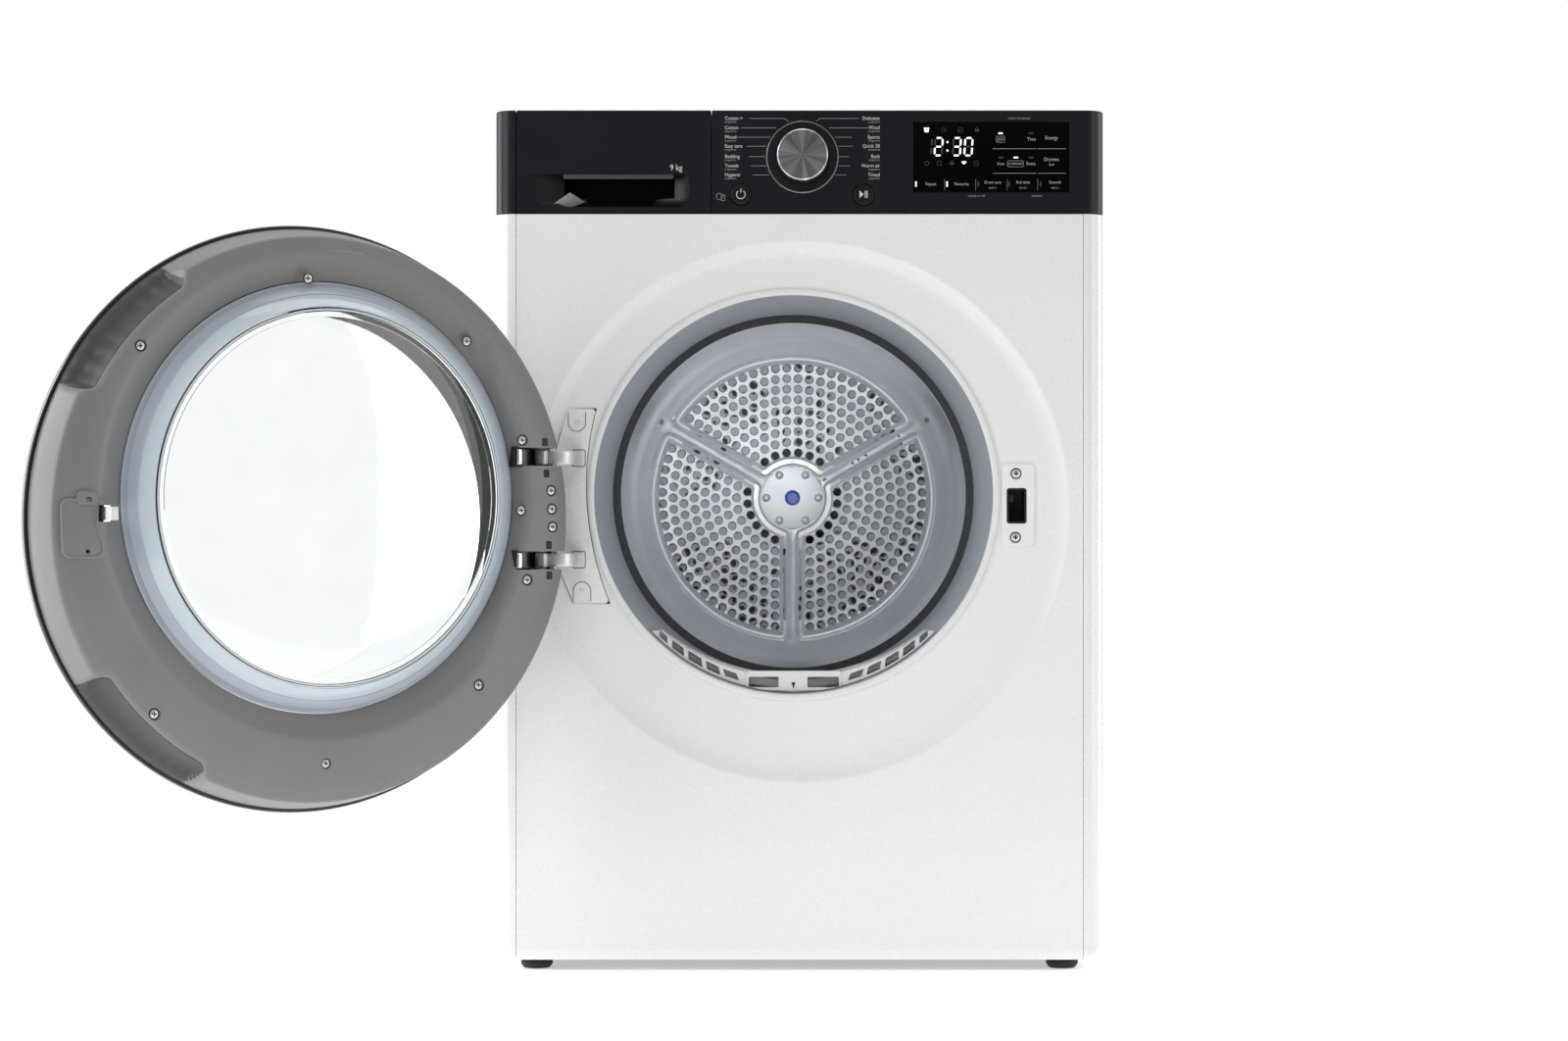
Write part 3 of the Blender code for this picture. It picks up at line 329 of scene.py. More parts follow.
def floor_finish():
    made, n = new_material("floor")
    grain = n.noise(3.0, 4.0)
    n.feed(Base_Color=n.tint(n.span(grain, 0, 1), (0.90, 0.90, 0.90), 0.01), Roughness=n.span(grain, 0.75, 0.9))
    n.shader.inputs["Emission Color"].default_value = (1, 1, 1, 1)
    n.shader.inputs["Emission Strength"].default_value = 0.42
    n.shader.inputs["Specular IOR Level"].default_value = 0.2
    return made


MATERIALS = {
    "white_enamel": enamel("white_enamel", (0.845, 0.848, 0.852)),
    "white_board": enamel("white_board", (0.845, 0.848, 0.852), 0.34),
    "black_panel": plastic("black_panel", (0.0100, 0.0108, 0.0138), 0.36, 1500.0, 0.000008, 0.08, 0.28),
    "black_plastic": plastic("black_plastic", (0.012, 0.012, 0.013), 0.5, 1400.0, 0.00003, 0.1),
    "base_plastic": plastic("base_plastic", (0.10, 0.105, 0.11), 0.6, 700.0, 0.00005, 0.1),
    "tank_plastic": plastic("tank_plastic", (0.42, 0.44, 0.47), 0.42, 900.0, 0.00002, 0.04),
    "grey_liner": plastic("grey_liner", (0.205, 0.205, 0.206), 0.42, 1300.0, 0.00002, 0.03),
    "pale_ring": plastic("pale_ring", (0.45, 0.49, 0.56), 0.22, 1200.0, 0.000006, 0.02, 0.5, 0.3),
    "door_glass": glass("door_glass", (0.97, 0.985, 0.995)),
    "dark_glass": plastic("dark_glass", (0.0012, 0.0012, 0.0015), 0.12, 600.0, 0.000003, 0.1, 0.10),
    "drum_steel": metal("drum_steel", (0.66, 0.68, 0.71), 0.46, (1, 1, 1), 1200.0, 0.000006, metallic=0.62),
    "galvanised_steel": galvanised("galvanised_steel"),
    "chrome": metal("chrome", (0.80, 0.80, 0.81), 0.10, (1, 1, 6), 500.0, 0.000004, 0.02),
    "dial_metal": spun_metal("dial_metal"),
    "felt": felt("felt"),
    "rubber": plastic("rubber", (0.022, 0.022, 0.023), 0.72, 500.0, 0.00006, 0.15),
    "white_plastic": plastic("white_plastic", (0.78, 0.785, 0.79), 0.36, 1200.0, 0.000015, 0.02),
    "copper": metal("copper", (0.78, 0.42, 0.28), 0.3),
    "circuit_board": plastic("circuit_board", (0.02, 0.16, 0.06), 0.4, 300.0, 0.00004, 0.2),
    "fin_stack": metal("fin_stack", (0.74, 0.75, 0.77), 0.38, (60, 1, 1), 14.0, 0.0004),
    "black_paint": plastic("black_paint", (0.02, 0.02, 0.021), 0.4, 260.0, 0.00006, 0.1),
}
FUNNEL_PAINT = metal("funnel_paint", (0.45, 0.475, 0.52), 0.40, (1, 1, 1), 2200.0, 0.000006, 0.03,
                     metallic=0.35)
INK = print_ink("print_ink", (0.62, 0.63, 0.65))
DIM_INK = print_ink("dim_ink", (0.045, 0.046, 0.05))
LIT = print_ink("lit_segment", (1.0, 1.0, 1.0), 0.8)
BLUE_CAP = plastic("blue_cap", (0.006, 0.085, 0.48), 0.42, 900.0, 0.00001, 0.06, 0.5, 0.4)
GRIP_PAINTED_SHADE = plastic("grip_painted_shade", (0.0012, 0.0012, 0.0016), 0.5, 1200.0, 0.00001, 0.1, 0.1)
GRIP_PAINTED_HIGHLIGHT = plastic("grip_painted_highlight", (0.30, 0.305, 0.32), 0.22, 900.0, 0.00001, 0.25)
LIP_BLACK = plastic("lip_black", (0.060, 0.062, 0.068), 0.32, 1200.0, 0.00001, 0.05)
DIM_LABEL = print_ink("grey_ink", (0.36, 0.37, 0.39))
SCREEN_PAINTED_SHADE = screen_with_painted_shade()
POCKET_PAINTED_SHADE = plastic("pocket_painted_shade", (0.050, 0.050, 0.051), 0.45, 900.0, 0.00002, 0.1)
PANE_GLASS = glass("pane_glass", (0.985, 0.992, 1.0))
SATIN = metal("hinge_satin", (0.74, 0.74, 0.735), 0.30, (1, 1, 1), 900.0, 0.000003, 0.02, metallic=0.55)
DARK_STEEL = metal("dark_steel", (0.13, 0.13, 0.135), 0.3, (1, 1, 1), 700.0, 0.000004, 0.05)
MESH_GREY = plastic("mesh_grey", (0.22, 0.225, 0.235), 0.6, 700.0, 0.00002, 0.2)
SEAM_GREY = plastic("seam_grey", (0.16, 0.16, 0.155), 0.6, 900.0, 0.00001, 0.1)
GLASS_FLANK_PAINTED_LIGHT = plastic("glass_flank_painted_light", (0.60, 0.68, 0.74), 0.10, 300.0, 0.000004, 0.03, 0.5, 0.4)
PLATE_PAINT = plate_finish()
RING_BLACK = plastic("ring_black", (0.010, 0.011, 0.013), 0.16, 1200.0, 0.000004, 0.05, 0.5)
FLOOR_PAINT = floor_finish()
DARK_VOID = plastic("filter_mesh", (0.10, 0.105, 0.115), 0.7, 420.0, 0.0002, 0.5)


# ---------------------------------------------------------------- mesh helpers

def to_object(name, bm, finish, smooth=35.0):
    bmesh.ops.remove_doubles(bm, verts=bm.verts, dist=TINY)
    bmesh.ops.recalc_face_normals(bm, faces=bm.faces)
    mesh = bpy.data.meshes.new(name)
    bm.to_mesh(mesh)
    bm.free()
    made = bpy.data.objects.new(name, mesh)
    bpy.context.scene.collection.objects.link(made)
    mesh.materials.append(finish)
    mesh.shade_smooth()
    mesh.set_sharp_from_angle(angle=math.radians(smooth))
    return made


def piece(name, bm, slot, body, stands_for=(), finish=None, swing=False, smooth=35.0, origin=None):
    """A visible piece that rides on a body. origin moves its own origin, for materials that turn about a point."""
    if origin is not None:
        bmesh.ops.translate(bm, verts=bm.verts, vec=-Vector(origin))
    made = to_object(name, bm, finish or MATERIALS[slot], smooth)
    if origin is not None:
        made.matrix_world = Matrix.Translation(origin)
    if swing:
        made.matrix_world = DOOR_SWING @ made.matrix_world
    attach(made, body)
    if stands_for:
        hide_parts(*stands_for)
    return made


def combine(bm, tool, operation="DIFFERENCE"):
    """bm with the tool cut from it or joined to it."""
    first, second = bpy.data.meshes.new("a"), bpy.data.meshes.new("b")
    for mesh, shape in ((first, bm), (second, tool)):
        bmesh.ops.remove_doubles(shape, verts=shape.verts, dist=1e-7)
        bmesh.ops.recalc_face_normals(shape, faces=shape.faces)
        shape.to_mesh(mesh)
        shape.free()
    target, cutter = bpy.data.objects.new("a", first), bpy.data.objects.new("b", second)
    for made in (target, cutter):
        bpy.context.scene.collection.objects.link(made)
    modifier = target.modifiers.new("cut", "BOOLEAN")
    modifier.operation, modifier.object, modifier.solver = operation, cutter, "EXACT"
    bpy.context.view_layer.update()
    result = bmesh.new()
    result.from_mesh(target.evaluated_get(bpy.context.evaluated_depsgraph_get()).data)
    for made, mesh in ((target, first), (cutter, second)):
        bpy.data.objects.remove(made)
        bpy.data.meshes.remove(mesh)
    return result


def join(*shapes):
    """Several meshes in one, without merging them."""
    whole = bmesh.new()
    for shape in shapes:
        mesh = bpy.data.meshes.new("part")
        shape.to_mesh(mesh)
        shape.free()
        whole.from_mesh(mesh)
        bpy.data.meshes.remove(mesh)
    return whole


def box(*corners):
    """Boxes from pairs of corners (x, depth, z)."""
    bm = bmesh.new()
    for low, high in zip(corners[::2], corners[1::2]):
        low, high = (low[0], depth(low[1]), low[2]), (high[0], depth(high[1]), high[2])
        for vert in bmesh.ops.create_cube(bm, size=1.0)["verts"]:
            vert.co = [h if c > 0 else l for c, l, h in zip(vert.co, low, high)]
    return bm


def rounded(bm, radius, segments=4, chosen=None):
    """Bevels every sharp edge, or those whose two ends both satisfy chosen."""
    if chosen:
        edges = [e for e in bm.edges if all(chosen(*v.co) for v in e.verts)]
    else:
        bmesh.ops.recalc_face_normals(bm, faces=bm.faces)
        edges = [e for e in bm.edges if len(e.link_faces) == 2 and e.calc_face_angle() > math.radians(35)]
    bmesh.ops.bevel(bm, geom=edges, offset=radius, segments=segments, profile=0.5, affect="EDGES",
                    clamp_overlap=True)
    return bm


def soft_box(low, high, radius, segments=4):
    return rounded(box(low, high), radius, segments)


def around(centre, radius, angle):
    """The (x, z) point at an angle and a radius from a centre."""
    return centre[0] + radius * math.cos(angle), centre[1] + radius * math.sin(angle)


def rectangle(x0, x1, z0, z1):
    """The corners of a rectangle, from its lower left one."""
    return [(x0, z0), (x1, z0), (x1, z1), (x0, z1)]


def bridge(bm, first, second, closed=True):
    count = max(len(first), len(second))
    if count == 1:
        return
    for i in range(count if closed else count - 1):
        j = (i + 1) % count
        if len(first) == 1:
            bm.faces.new((first[0], second[j], second[i]))
        elif len(second) == 1:
            bm.faces.new((first[i], first[j], second[0]))
        else:
            bm.faces.new((first[i], first[j], second[j], second[i]))


def eased(profile):
    """A closed profile of (radius, distance[, rounding]) points with its corners rounded."""
    found, count = [], len(profile)
    for i, point in enumerate(profile):
        here = Vector(point[:2])
        size = point[2] if len(point) > 2 else 0.0
        if not size:
            found.append(tuple(here))
            continue
        before, after = Vector(profile[i - 1][:2]) - here, Vector(profile[(i + 1) % count][:2]) - here
        reach = min(size, before.length * 0.49, after.length * 0.49)
        start, end = here + before.normalized() * reach, here + after.normalized() * reach
        steps = 6
        for k in range(steps + 1):
            t = k / steps
            found.append(tuple(start * (1 - t) ** 2 + here * 2 * t * (1 - t) + end * t**2))
    return found


def turned(profile, centre, segments=TURN, upright=False):
    """A profile of (radius, depth) points turned about an axis along Y, or of (radius, z) points about Z if upright."""
    bm = bmesh.new()
    rings = []
    for radius, along in eased(profile):
        ring = []
        for i in range(segments if radius > TINY else 1):
            angle = math.tau * i / segments
            a, b = radius * math.cos(angle), radius * math.sin(angle)
            spot = (centre[0] + a, centre[1] + b, along) if upright else (centre[0] + a, depth(along),
                                                                          centre[1] + b)
            ring.append(bm.verts.new(spot))
        rings.append(ring)
    for first, second in zip(rings, rings[1:] + rings[:1]):
        bridge(bm, first, second)
    return bm


def door_turned(profile, centre, segments=TURN):
    return turned([(p[0], DOOR_RIM + p[1], *p[2:]) for p in profile], centre, segments)


def cylinder(centre, radius, start, end, segments=MEDIUM, upright=False, ease=0.0):
    return turned([(0, start), (radius, start, ease), (radius, end, ease), (0, end)], centre, segments, upright)


def prism(outline, start, end, upright=False, ease=0.0, segments=3):
    """An outline of (x, z) points drawn out along Y, or of (x, depth) points along Z if upright."""
    bm = bmesh.new()
    caps = []
    for along in (start, end):
        spots = [(x, depth(v), along) if upright else (x, depth(along), v) for x, v in outline]
        caps.append([bm.verts.new(spot) for spot in spots])
    bridge(bm, *caps)
    for cap in caps:
        bm.faces.new(cap)
    if ease:
        bmesh.ops.recalc_face_normals(bm, faces=bm.faces)
        rim = {e for cap in caps for e in bm.edges if e.verts[0] in cap and e.verts[1] in cap}
        bmesh.ops.bevel(bm, geom=list(rim), offset=ease, segments=segments, profile=0.5, affect="EDGES")
    return bm


def corners(points, radius, steps=6):
    """A closed outline with its corners rounded, each by its own radius if radius is a list."""
    radii = radius if isinstance(radius, (list, tuple)) else [radius] * len(points)
    return eased_arc([(x, y, r) for (x, y), r in zip(points, radii)], steps)


def eased_arc(points, steps):
    found, count = [], len(points)
    for i, (x, y, size) in enumerate(points):
        here = Vector((x, y))
        before, after = Vector(points[i - 1][:2]) - here, Vector(points[(i + 1) % count][:2]) - here
        half = before.angle(after) / 2
        reach = min(size / max(math.tan(half), 1e-3), before.length * 0.499, after.length * 0.499)
        if reach < 1e-5:
            found.append((x, y))
            continue
        radius = reach * math.tan(half)
        start = here + before.normalized() * reach
        centre = here + (before.normalized() + after.normalized()).normalized() * (radius / math.sin(half))
        sweep = math.pi - 2 * half
        turn = math.copysign(1, before.x * after.y - before.y * after.x)
        first = math.atan2(start.y - centre.y, start.x - centre.x)
        for k in range(steps + 1):
            angle = first - turn * sweep * k / steps
            found.append((centre.x + radius * math.cos(angle), centre.y + radius * math.sin(angle)))
    return found


def screw_heads(spots, radius, face, facing=-1):
    """Cross-head screws on a plane of constant depth, at (x, z) spots. facing -1 looks out of the front."""
    parts = []
    for x, z in spots:
        dome = [
            (0, face + facing * radius * 0.32), (radius * 0.55, face + facing * radius * 0.28),
            (radius * 0.9, face + facing * radius * 0.10, radius * 0.1), (radius, face - facing * 0.0002),
            (0, face - facing * 0.0004),
        ]
        head = turned(dome, (x, z), SMALL)
        arm, wide = radius * 0.55, radius * 0.14
        low, high = sorted((face + facing * radius * 0.10, face + facing * radius * 0.6))
        cross = box((x - arm, low, z - wide), (x + arm, high, z + wide))
        cross = combine(cross, box((x - wide, low - 1e-5, z - arm), (x + wide, high + 1e-5, z + arm)), "UNION")
        parts.append(combine(head, cross))
    return join(*parts)


def text(body, size, where, align="LEFT", squeeze=1.0):
    """Lettering on a front face, as a mesh that stands proud by its own thickness."""
    curve = bpy.data.curves.new("label", "FONT")
    curve.body, curve.size, curve.align_x, curve.align_y = body, size, align, "CENTER"
    curve.extrude, curve.resolution_u = PRINT_THICK, 3
    made = bpy.data.objects.new("label", curve)
    bpy.context.scene.collection.objects.link(made)
    made.rotation_euler.x = math.radians(90)
    made.scale.x = squeeze
    made.location = where
    bpy.context.view_layer.update()
    bm = bmesh.new()
    bm.from_mesh(made.evaluated_get(bpy.context.evaluated_depsgraph_get()).to_mesh())
    bm.transform(made.matrix_world)
    bpy.data.objects.remove(made)
    bpy.data.curves.remove(curve)
    return bm


def strip(x0, x1, z0, z1, face, thick=PRINT_THICK):
    """A thin printed bar on a front face."""
    return box((x0, face - thick, z0), (x1, face + thick, z1))


def tube(points, radius, segments=10, closed=False):
    """A round bar along a path of world points."""
    bm = bmesh.new()
    rings, count = [], len(points)
    points = [Vector(p) for p in points]
    side = None
    for i, here in enumerate(points):
        if closed:
            way = (points[(i + 1) % count] - points[i - 1]).normalized()
        else:
            way = (points[min(i + 1, count - 1)] - points[max(i - 1, 0)]).normalized()
        if side is None:
            side = way.orthogonal().normalized()
        side = (side - way * side.dot(way)).normalized()
        other = way.cross(side)
        rings.append([
            bm.verts.new(here + (side * math.cos(math.tau * k / segments) + other * math.sin(math.tau * k / segments)) * radius)
            for k in range(segments)
        ])
    for first, second in zip(rings, rings[1:]):
        bridge(bm, first, second)
    if closed:
        bridge(bm, rings[-1], rings[0])
    else:
        bm.faces.new(rings[0])
        bm.faces.new(rings[-1])
    return bm


# ---------------------------------------------------------------- cabinet

def build_shell():
    thick = 0.0010
    for name, node, side in (("side_left", "left_side_panel", -1), ("side_right", "right_side_panel", 1)):
        def skin(inset, radius, base_radius):
            reach = 0.05 if inset else 0.0
            xs = sorted((side * (HALF - inset), side * (SEAM_X + GAP - reach)))
            bm = box((xs[0], inset, inset), (xs[1], DEPTH - 0.002 + reach, COVER_Z - GAP + reach))
            outer_x, front = side * (HALF - inset), depth(inset)
            rounded(bm, radius, 14, lambda x, y, z: abs(x - outer_x) < TINY and abs(y - front) < TINY)
            seam, back = side * (SEAM_X + GAP - reach), depth(DEPTH - 0.002 + reach)
            low = [
                e for e in bm.edges
                if all(abs(v.co.z - inset) < TINY for v in e.verts)
                and not all(abs(v.co.x - seam) < TINY for v in e.verts)
                and not all(abs(v.co.y - back) < TINY for v in e.verts)
            ]
            bmesh.ops.bevel(bm, geom=low, offset=base_radius, segments=8, profile=0.5, affect="EDGES")
            return bm

        bm = combine(skin(0.0, CORNER_R, BASE_R), skin(thick, CORNER_R - thick, BASE_R - thick))
        bm = combine(bm, box((-1, -0.05, BAND_Z - 0.0006), (1, BAND_DEPTH + GAP, 1)))
        weighted(piece("cabinet_" + name, bm, "white_enamel", "cabinet", [node]))

    cover = box((-HALF, BAND_DEPTH + GAP, COVER_Z), (HALF, DEPTH, TOP_Z))
    rounded(cover, 0.0050, 6, lambda x, y, z: z > TOP_Z - TINY)
    piece("cabinet_top", cover, "white_board", "cabinet", ["top_cover"])

    rear = soft_box((-0.298, DEPTH - thick, 0.003), (0.298, DEPTH, COVER_Z - GAP), 0.0003, 2)
    slots = []
    for column in (-0.17, -0.09, 0.09, 0.17):
        for row in range(5):
            z = 0.080 + 0.018 * row
            low, high = (column - 0.03, DEPTH - 0.01, z), (column + 0.03, DEPTH + 0.01, z + 0.006)
            slots.append(soft_box(low, high, 0.0028, 5))
    rear = combine(rear, join(*slots))
    rear = combine(rear, cylinder((0.245, 0.715), 0.0080, DEPTH - 0.05, DEPTH + 0.05))
    weighted(piece("cabinet_rear", rear, "white_enamel", "cabinet", ["rear_panel"]))
    ribs = []
    for x in (-0.262, 0.262):
        ribs.append(soft_box((x - 0.006, DEPTH - 0.0002, 0.200), (x + 0.006, DEPTH + 0.0022, 0.690), 0.0015, 3))
    for r0, r1 in ((0.198, 0.204), (0.100, 0.104)):
        ribs.append(turned([(r0 - 0.003, DEPTH - 0.0002), (r0, DEPTH + 0.0022, 0.001),
                            (r1, DEPTH + 0.0022, 0.001),
                            (r1 + 0.003, DEPTH - 0.0002)], AXIS, TURN))
    piece("rear_pressing", join(*ribs), "white_enamel", "cabinet")
    edge = [(x, z) for x in (-0.288, 0.288) for z in (0.03, 0.23, 0.43, 0.63, 0.79)]
    edge += [(x, z) for x in (-0.14, 0.0, 0.14) for z in (0.020, 0.805)]
    piece("rear_screws", screw_heads(edge, 0.0042, DEPTH, 1), "chrome", "cabinet")
    gland = [(0.0045, DEPTH - 0.018), (0.0190, DEPTH - 0.018), (0.0190, DEPTH - 0.0014),
             (0.0075, DEPTH - 0.0014),
             (0.0075, DEPTH + 0.0060, 0.001), (0.0062, DEPTH + 0.0080, 0.001), (0.0045, DEPTH + 0.0080)]
    piece("mains_gland", turned(gland, (0.245, 0.715), MEDIUM), "black_plastic", "cabinet", ["mains_inlet"])


def weighted(made):
    """Keeps flat sheet looking flat beside its rounded edges."""
    modifier = made.modifiers.new("normals", "WEIGHTED_NORMAL")
    modifier.keep_sharp = True
    return made


def build_front():
    top, thick = BAND_Z - 0.0007, 0.0010

    def block(inset, radius, back):
        bm = box((-SEAM_X + inset, inset, inset), (SEAM_X - inset, back, top - inset))
        front = depth(inset)
        return rounded(bm, radius, 10, lambda x, y, z: abs(y - front) < TINY and abs(z - inset) < TINY)

    shell = combine(block(0.0, BASE_R, 0.030), block(thick, BASE_R - thick, 0.060))
    # The dish is drawn as a thin turned sheet that joins the front on a wide circle.
    shell = combine(shell, cylinder(RECESS, RECESS_R + 0.0030, -0.05, 0.025, FINE))
    outer = [
        (RECESS_R + 0.0030, 0.0), (RECESS_R + 0.0014, 0.0001), (RECESS_R, 0.0006), (RECESS_R - 0.0016, 0.0016),
        (RECESS_R - 0.0050, 0.0036), (RECESS_R - 0.0090, 0.0055), (RECESS_FLOOR_R - 0.0020, 0.0068),
        (RECESS_FLOOR_R - 0.0070, 0.0076),
        (RECESS_FLOOR_R - 0.0130, RECESS_DEPTH), (0.2350, RECESS_DEPTH),
    ]
    rings = bmesh.new()
    loops = []
    lip = [(OPENING_R + 0.0022, RECESS_DEPTH), (OPENING_R + 0.0008, RECESS_DEPTH + 0.0003),
           (OPENING_R, RECESS_DEPTH + 0.0012)]
    for centre, profile in ((RECESS, outer), (AXIS, lip)):
        for r, d in profile:
            spots = [around(centre, r, math.tau * i / FINE) for i in range(FINE)]
            loops.append([rings.verts.new((x, depth(d), z)) for x, z in spots])
    for first, second in zip(loops, loops[1:]):
        bridge(rings, first, second)
    bmesh.ops.recalc_face_normals(rings, faces=rings.faces)
    if rings.faces[0].normal.y > 0:
        bmesh.ops.reverse_faces(rings, faces=rings.faces)
    bmesh.ops.solidify(rings, geom=rings.faces[:], thickness=thick)
    half_x, half_z = LATCH_HALF
    hole = rounded(box((LATCH_X - half_x - 0.0004, -0.05, LATCH_Z - half_z - 0.0004),
                       (LATCH_X + half_x + 0.0004, 0.05, LATCH_Z + half_z + 0.0004)), 0.003, 4)
    rings = combine(rings, hole)
    shell = join(shell, rings)
    weighted(piece("cabinet_front", shell, "white_enamel", "cabinet", ["front_panel"], smooth=40))


def build_feet():
    names = [(f"foot_{end}_{side}", f"foot_{end[0]}{side[0]}", x, d) for end,
             d in zip(("front", "rear"), FOOT_DEPTHS)
             for side, x in (("left", -FOOT_X), ("right", FOOT_X))]
    for node, body, x, d in names:
        centre = (x, depth(d))
        pad = [(0, FLOOR_Z), (0.0128, FLOOR_Z, 0.0008), (0.0150, -0.0092, 0.0008), (0.0155, -0.0080),
               (0.0155, -0.0040, 0.0010),
               (0.0140, -0.0032, 0.0005), (0.0140, -0.0012, 0.0004), (0.0120, -0.0006), (0.0047, -0.0006),
               (0.0047, 0.0340, 0.0006), (0, 0.0340)]
        bm = turned(pad, centre, MEDIUM, True)
        ribs = []
        for k in range(24):
            a = math.tau * k / 24
            ribs.append(tube([(centre[0] + 0.0154 * math.cos(a), centre[1] + 0.0154 * math.sin(a), z)
                              for z in (-0.0078, -0.0060, -0.0042)], 0.0006, 6))
        piece(f"levelling_{node}", join(bm, *ribs), "rubber", body, [node])


# ---------------------------------------------------------------- control band

def moulding(side, inner_x, inset):
    """The band's moulding from inner_x to the cabinet's side, or the space inside it."""
    back = BAND_DEPTH + (0.05 if inset else 0)
    outer = side * (HALF - inset)
    xs = sorted((outer, inner_x + side * inset))
    bm = box((xs[0], inset, BAND_Z + inset), (xs[1], back, BAND_TOP - inset))
    front = depth(inset)
    rounded(bm, CORNER_R - inset, 16, lambda x, y, z: abs(x - outer) < TINY and abs(y - front) < TINY)
    if not inset:
        for level, size, steps in ((BAND_TOP, 0.0016, 4), (BAND_Z, 0.0007, 3)):
            edges = [e for e in bm.edges if all(abs(v.co.z - level) < TINY for v in e.verts)
                     and not all(abs(v.co.y - depth(back)) < TINY for v in e.verts)]
            bmesh.ops.bevel(bm, geom=edges, offset=size, segments=steps, profile=0.5, affect="EDGES")
    return bm


def build_band():
    bm = combine(moulding(1, SPLIT_X + GAP, 0.0), moulding(1, SPLIT_X + GAP, BAND_WALL))
    bm = combine(bm, box((DISPLAY_X[0] - GAP, -0.05, DISPLAY_Z[0] - GAP),
                         (DISPLAY_X[1] + GAP, 0.01, DISPLAY_Z[1] + GAP)))
    bm = combine(bm, cylinder(DIAL, 0.0046, -0.05, 0.01))
    for centre in (POWER, START):
        bm = combine(bm, cylinder(centre, BUTTON_R + 0.0006, -0.05, 0.01))
        bm = combine(bm, turned([(0, -0.01), (BUTTON_R + 0.0022, -0.01), (BUTTON_R + 0.0022, 0.0),
                                 (BUTTON_R + 0.0010, 0.0009),
                                 (0, 0.0009)], centre, 96))
    bm = combine(bm, turned([(0, -0.01), (DIAL_R + 0.0018, -0.01), (DIAL_R + 0.0018, 0.0),
                             (DIAL_R + 0.0008, 0.0008),
                             (0, 0.0008)], DIAL, 128))
    weighted(piece("fascia", bm, "black_panel", "cabinet", ["control_panel"]))
    bm = combine(moulding(-1, -SEAM_X - GAP, 0.0), moulding(-1, -SEAM_X - GAP, BAND_WALL))
    weighted(piece("corner_trim", bm, "black_panel", "cabinet", ["corner_trim_left"]))

    ring = [(DIAL_RING_R - 0.0006, 0.0002), (DIAL_RING_R - 0.0005, -0.0004, 0.0002),
            (DIAL_RING_R + 0.0005, -0.0004, 0.0002),
            (DIAL_RING_R + 0.0006, 0.0002)]
    piece("dial_ring", turned(ring, DIAL, TURN), "chrome", "cabinet")

    x, z = DIAL
    r, front = DIAL_R, -DIAL_REACH
    knob = [
        (0, front + 0.0004), (r - 0.0030, front + 0.0001), (r - 0.0020, front, 0.0006),
        (r - 0.0008, front + 0.0006, 0.0005),
        (r, front + 0.0020, 0.0008), (r, -0.0040, 0.0005), (r - 0.0004, -0.0012, 0.0003), (0.0040, -0.0012),
        (0.0040, 0.0280), (0, 0.0280),
    ]
    bm = turned(knob, DIAL, 160)
    piece("programme_dial", bm, "dial_metal", "dial_knob", ["dial"], origin=(x, FRONT_Y, z), smooth=50)

    for name, node, body, centre in (
        ("power_key", "power_button", "power_key", POWER), ("start_key", "start_button", "start_key", START)
    ):
        button = [
            (0, -0.0009), (BUTTON_R - 0.0012, -0.0011, 0.0006), (BUTTON_R, -0.0004, 0.0005), (BUTTON_R, 0.0045),
            (BUTTON_R + 0.0025, 0.0045), (BUTTON_R + 0.0025, 0.0060), (0, 0.0060),
        ]
        piece(name + "_cap", turned(button, centre, 96), "black_panel", body, [node])
    (x, z), face = POWER, -0.0011
    arc = [(x + 0.0042 * math.sin(math.radians(a)), depth(face),
            z - 0.0004 + 0.0042 * math.cos(math.radians(a)))
           for a in range(38, 323, 6)]
    mark = join(tube(arc, 0.00042, 8),
                tube([(x, depth(face), z + 0.0014), (x, depth(face), z + 0.0052)], 0.00042, 8))
    piece("power_mark", mark, "white_plastic", "power_key", finish=INK)
    x, z = START
    mark = prism([(x - 0.0042, z - 0.0038), (x - 0.0002, z), (x - 0.0042, z + 0.0038)], face - 0.0002,
                 face + 0.0002)
    mark = join(mark, strip(x + 0.0010, x + 0.0019, z - 0.0036, z + 0.0036, face, 0.0002),
                strip(x + 0.0028, x + 0.0037, z - 0.0036, z + 0.0036, face, 0.0002))
    piece("start_mark", mark, "white_plastic", "start_key", finish=INK)
    build_labels()
    build_display()


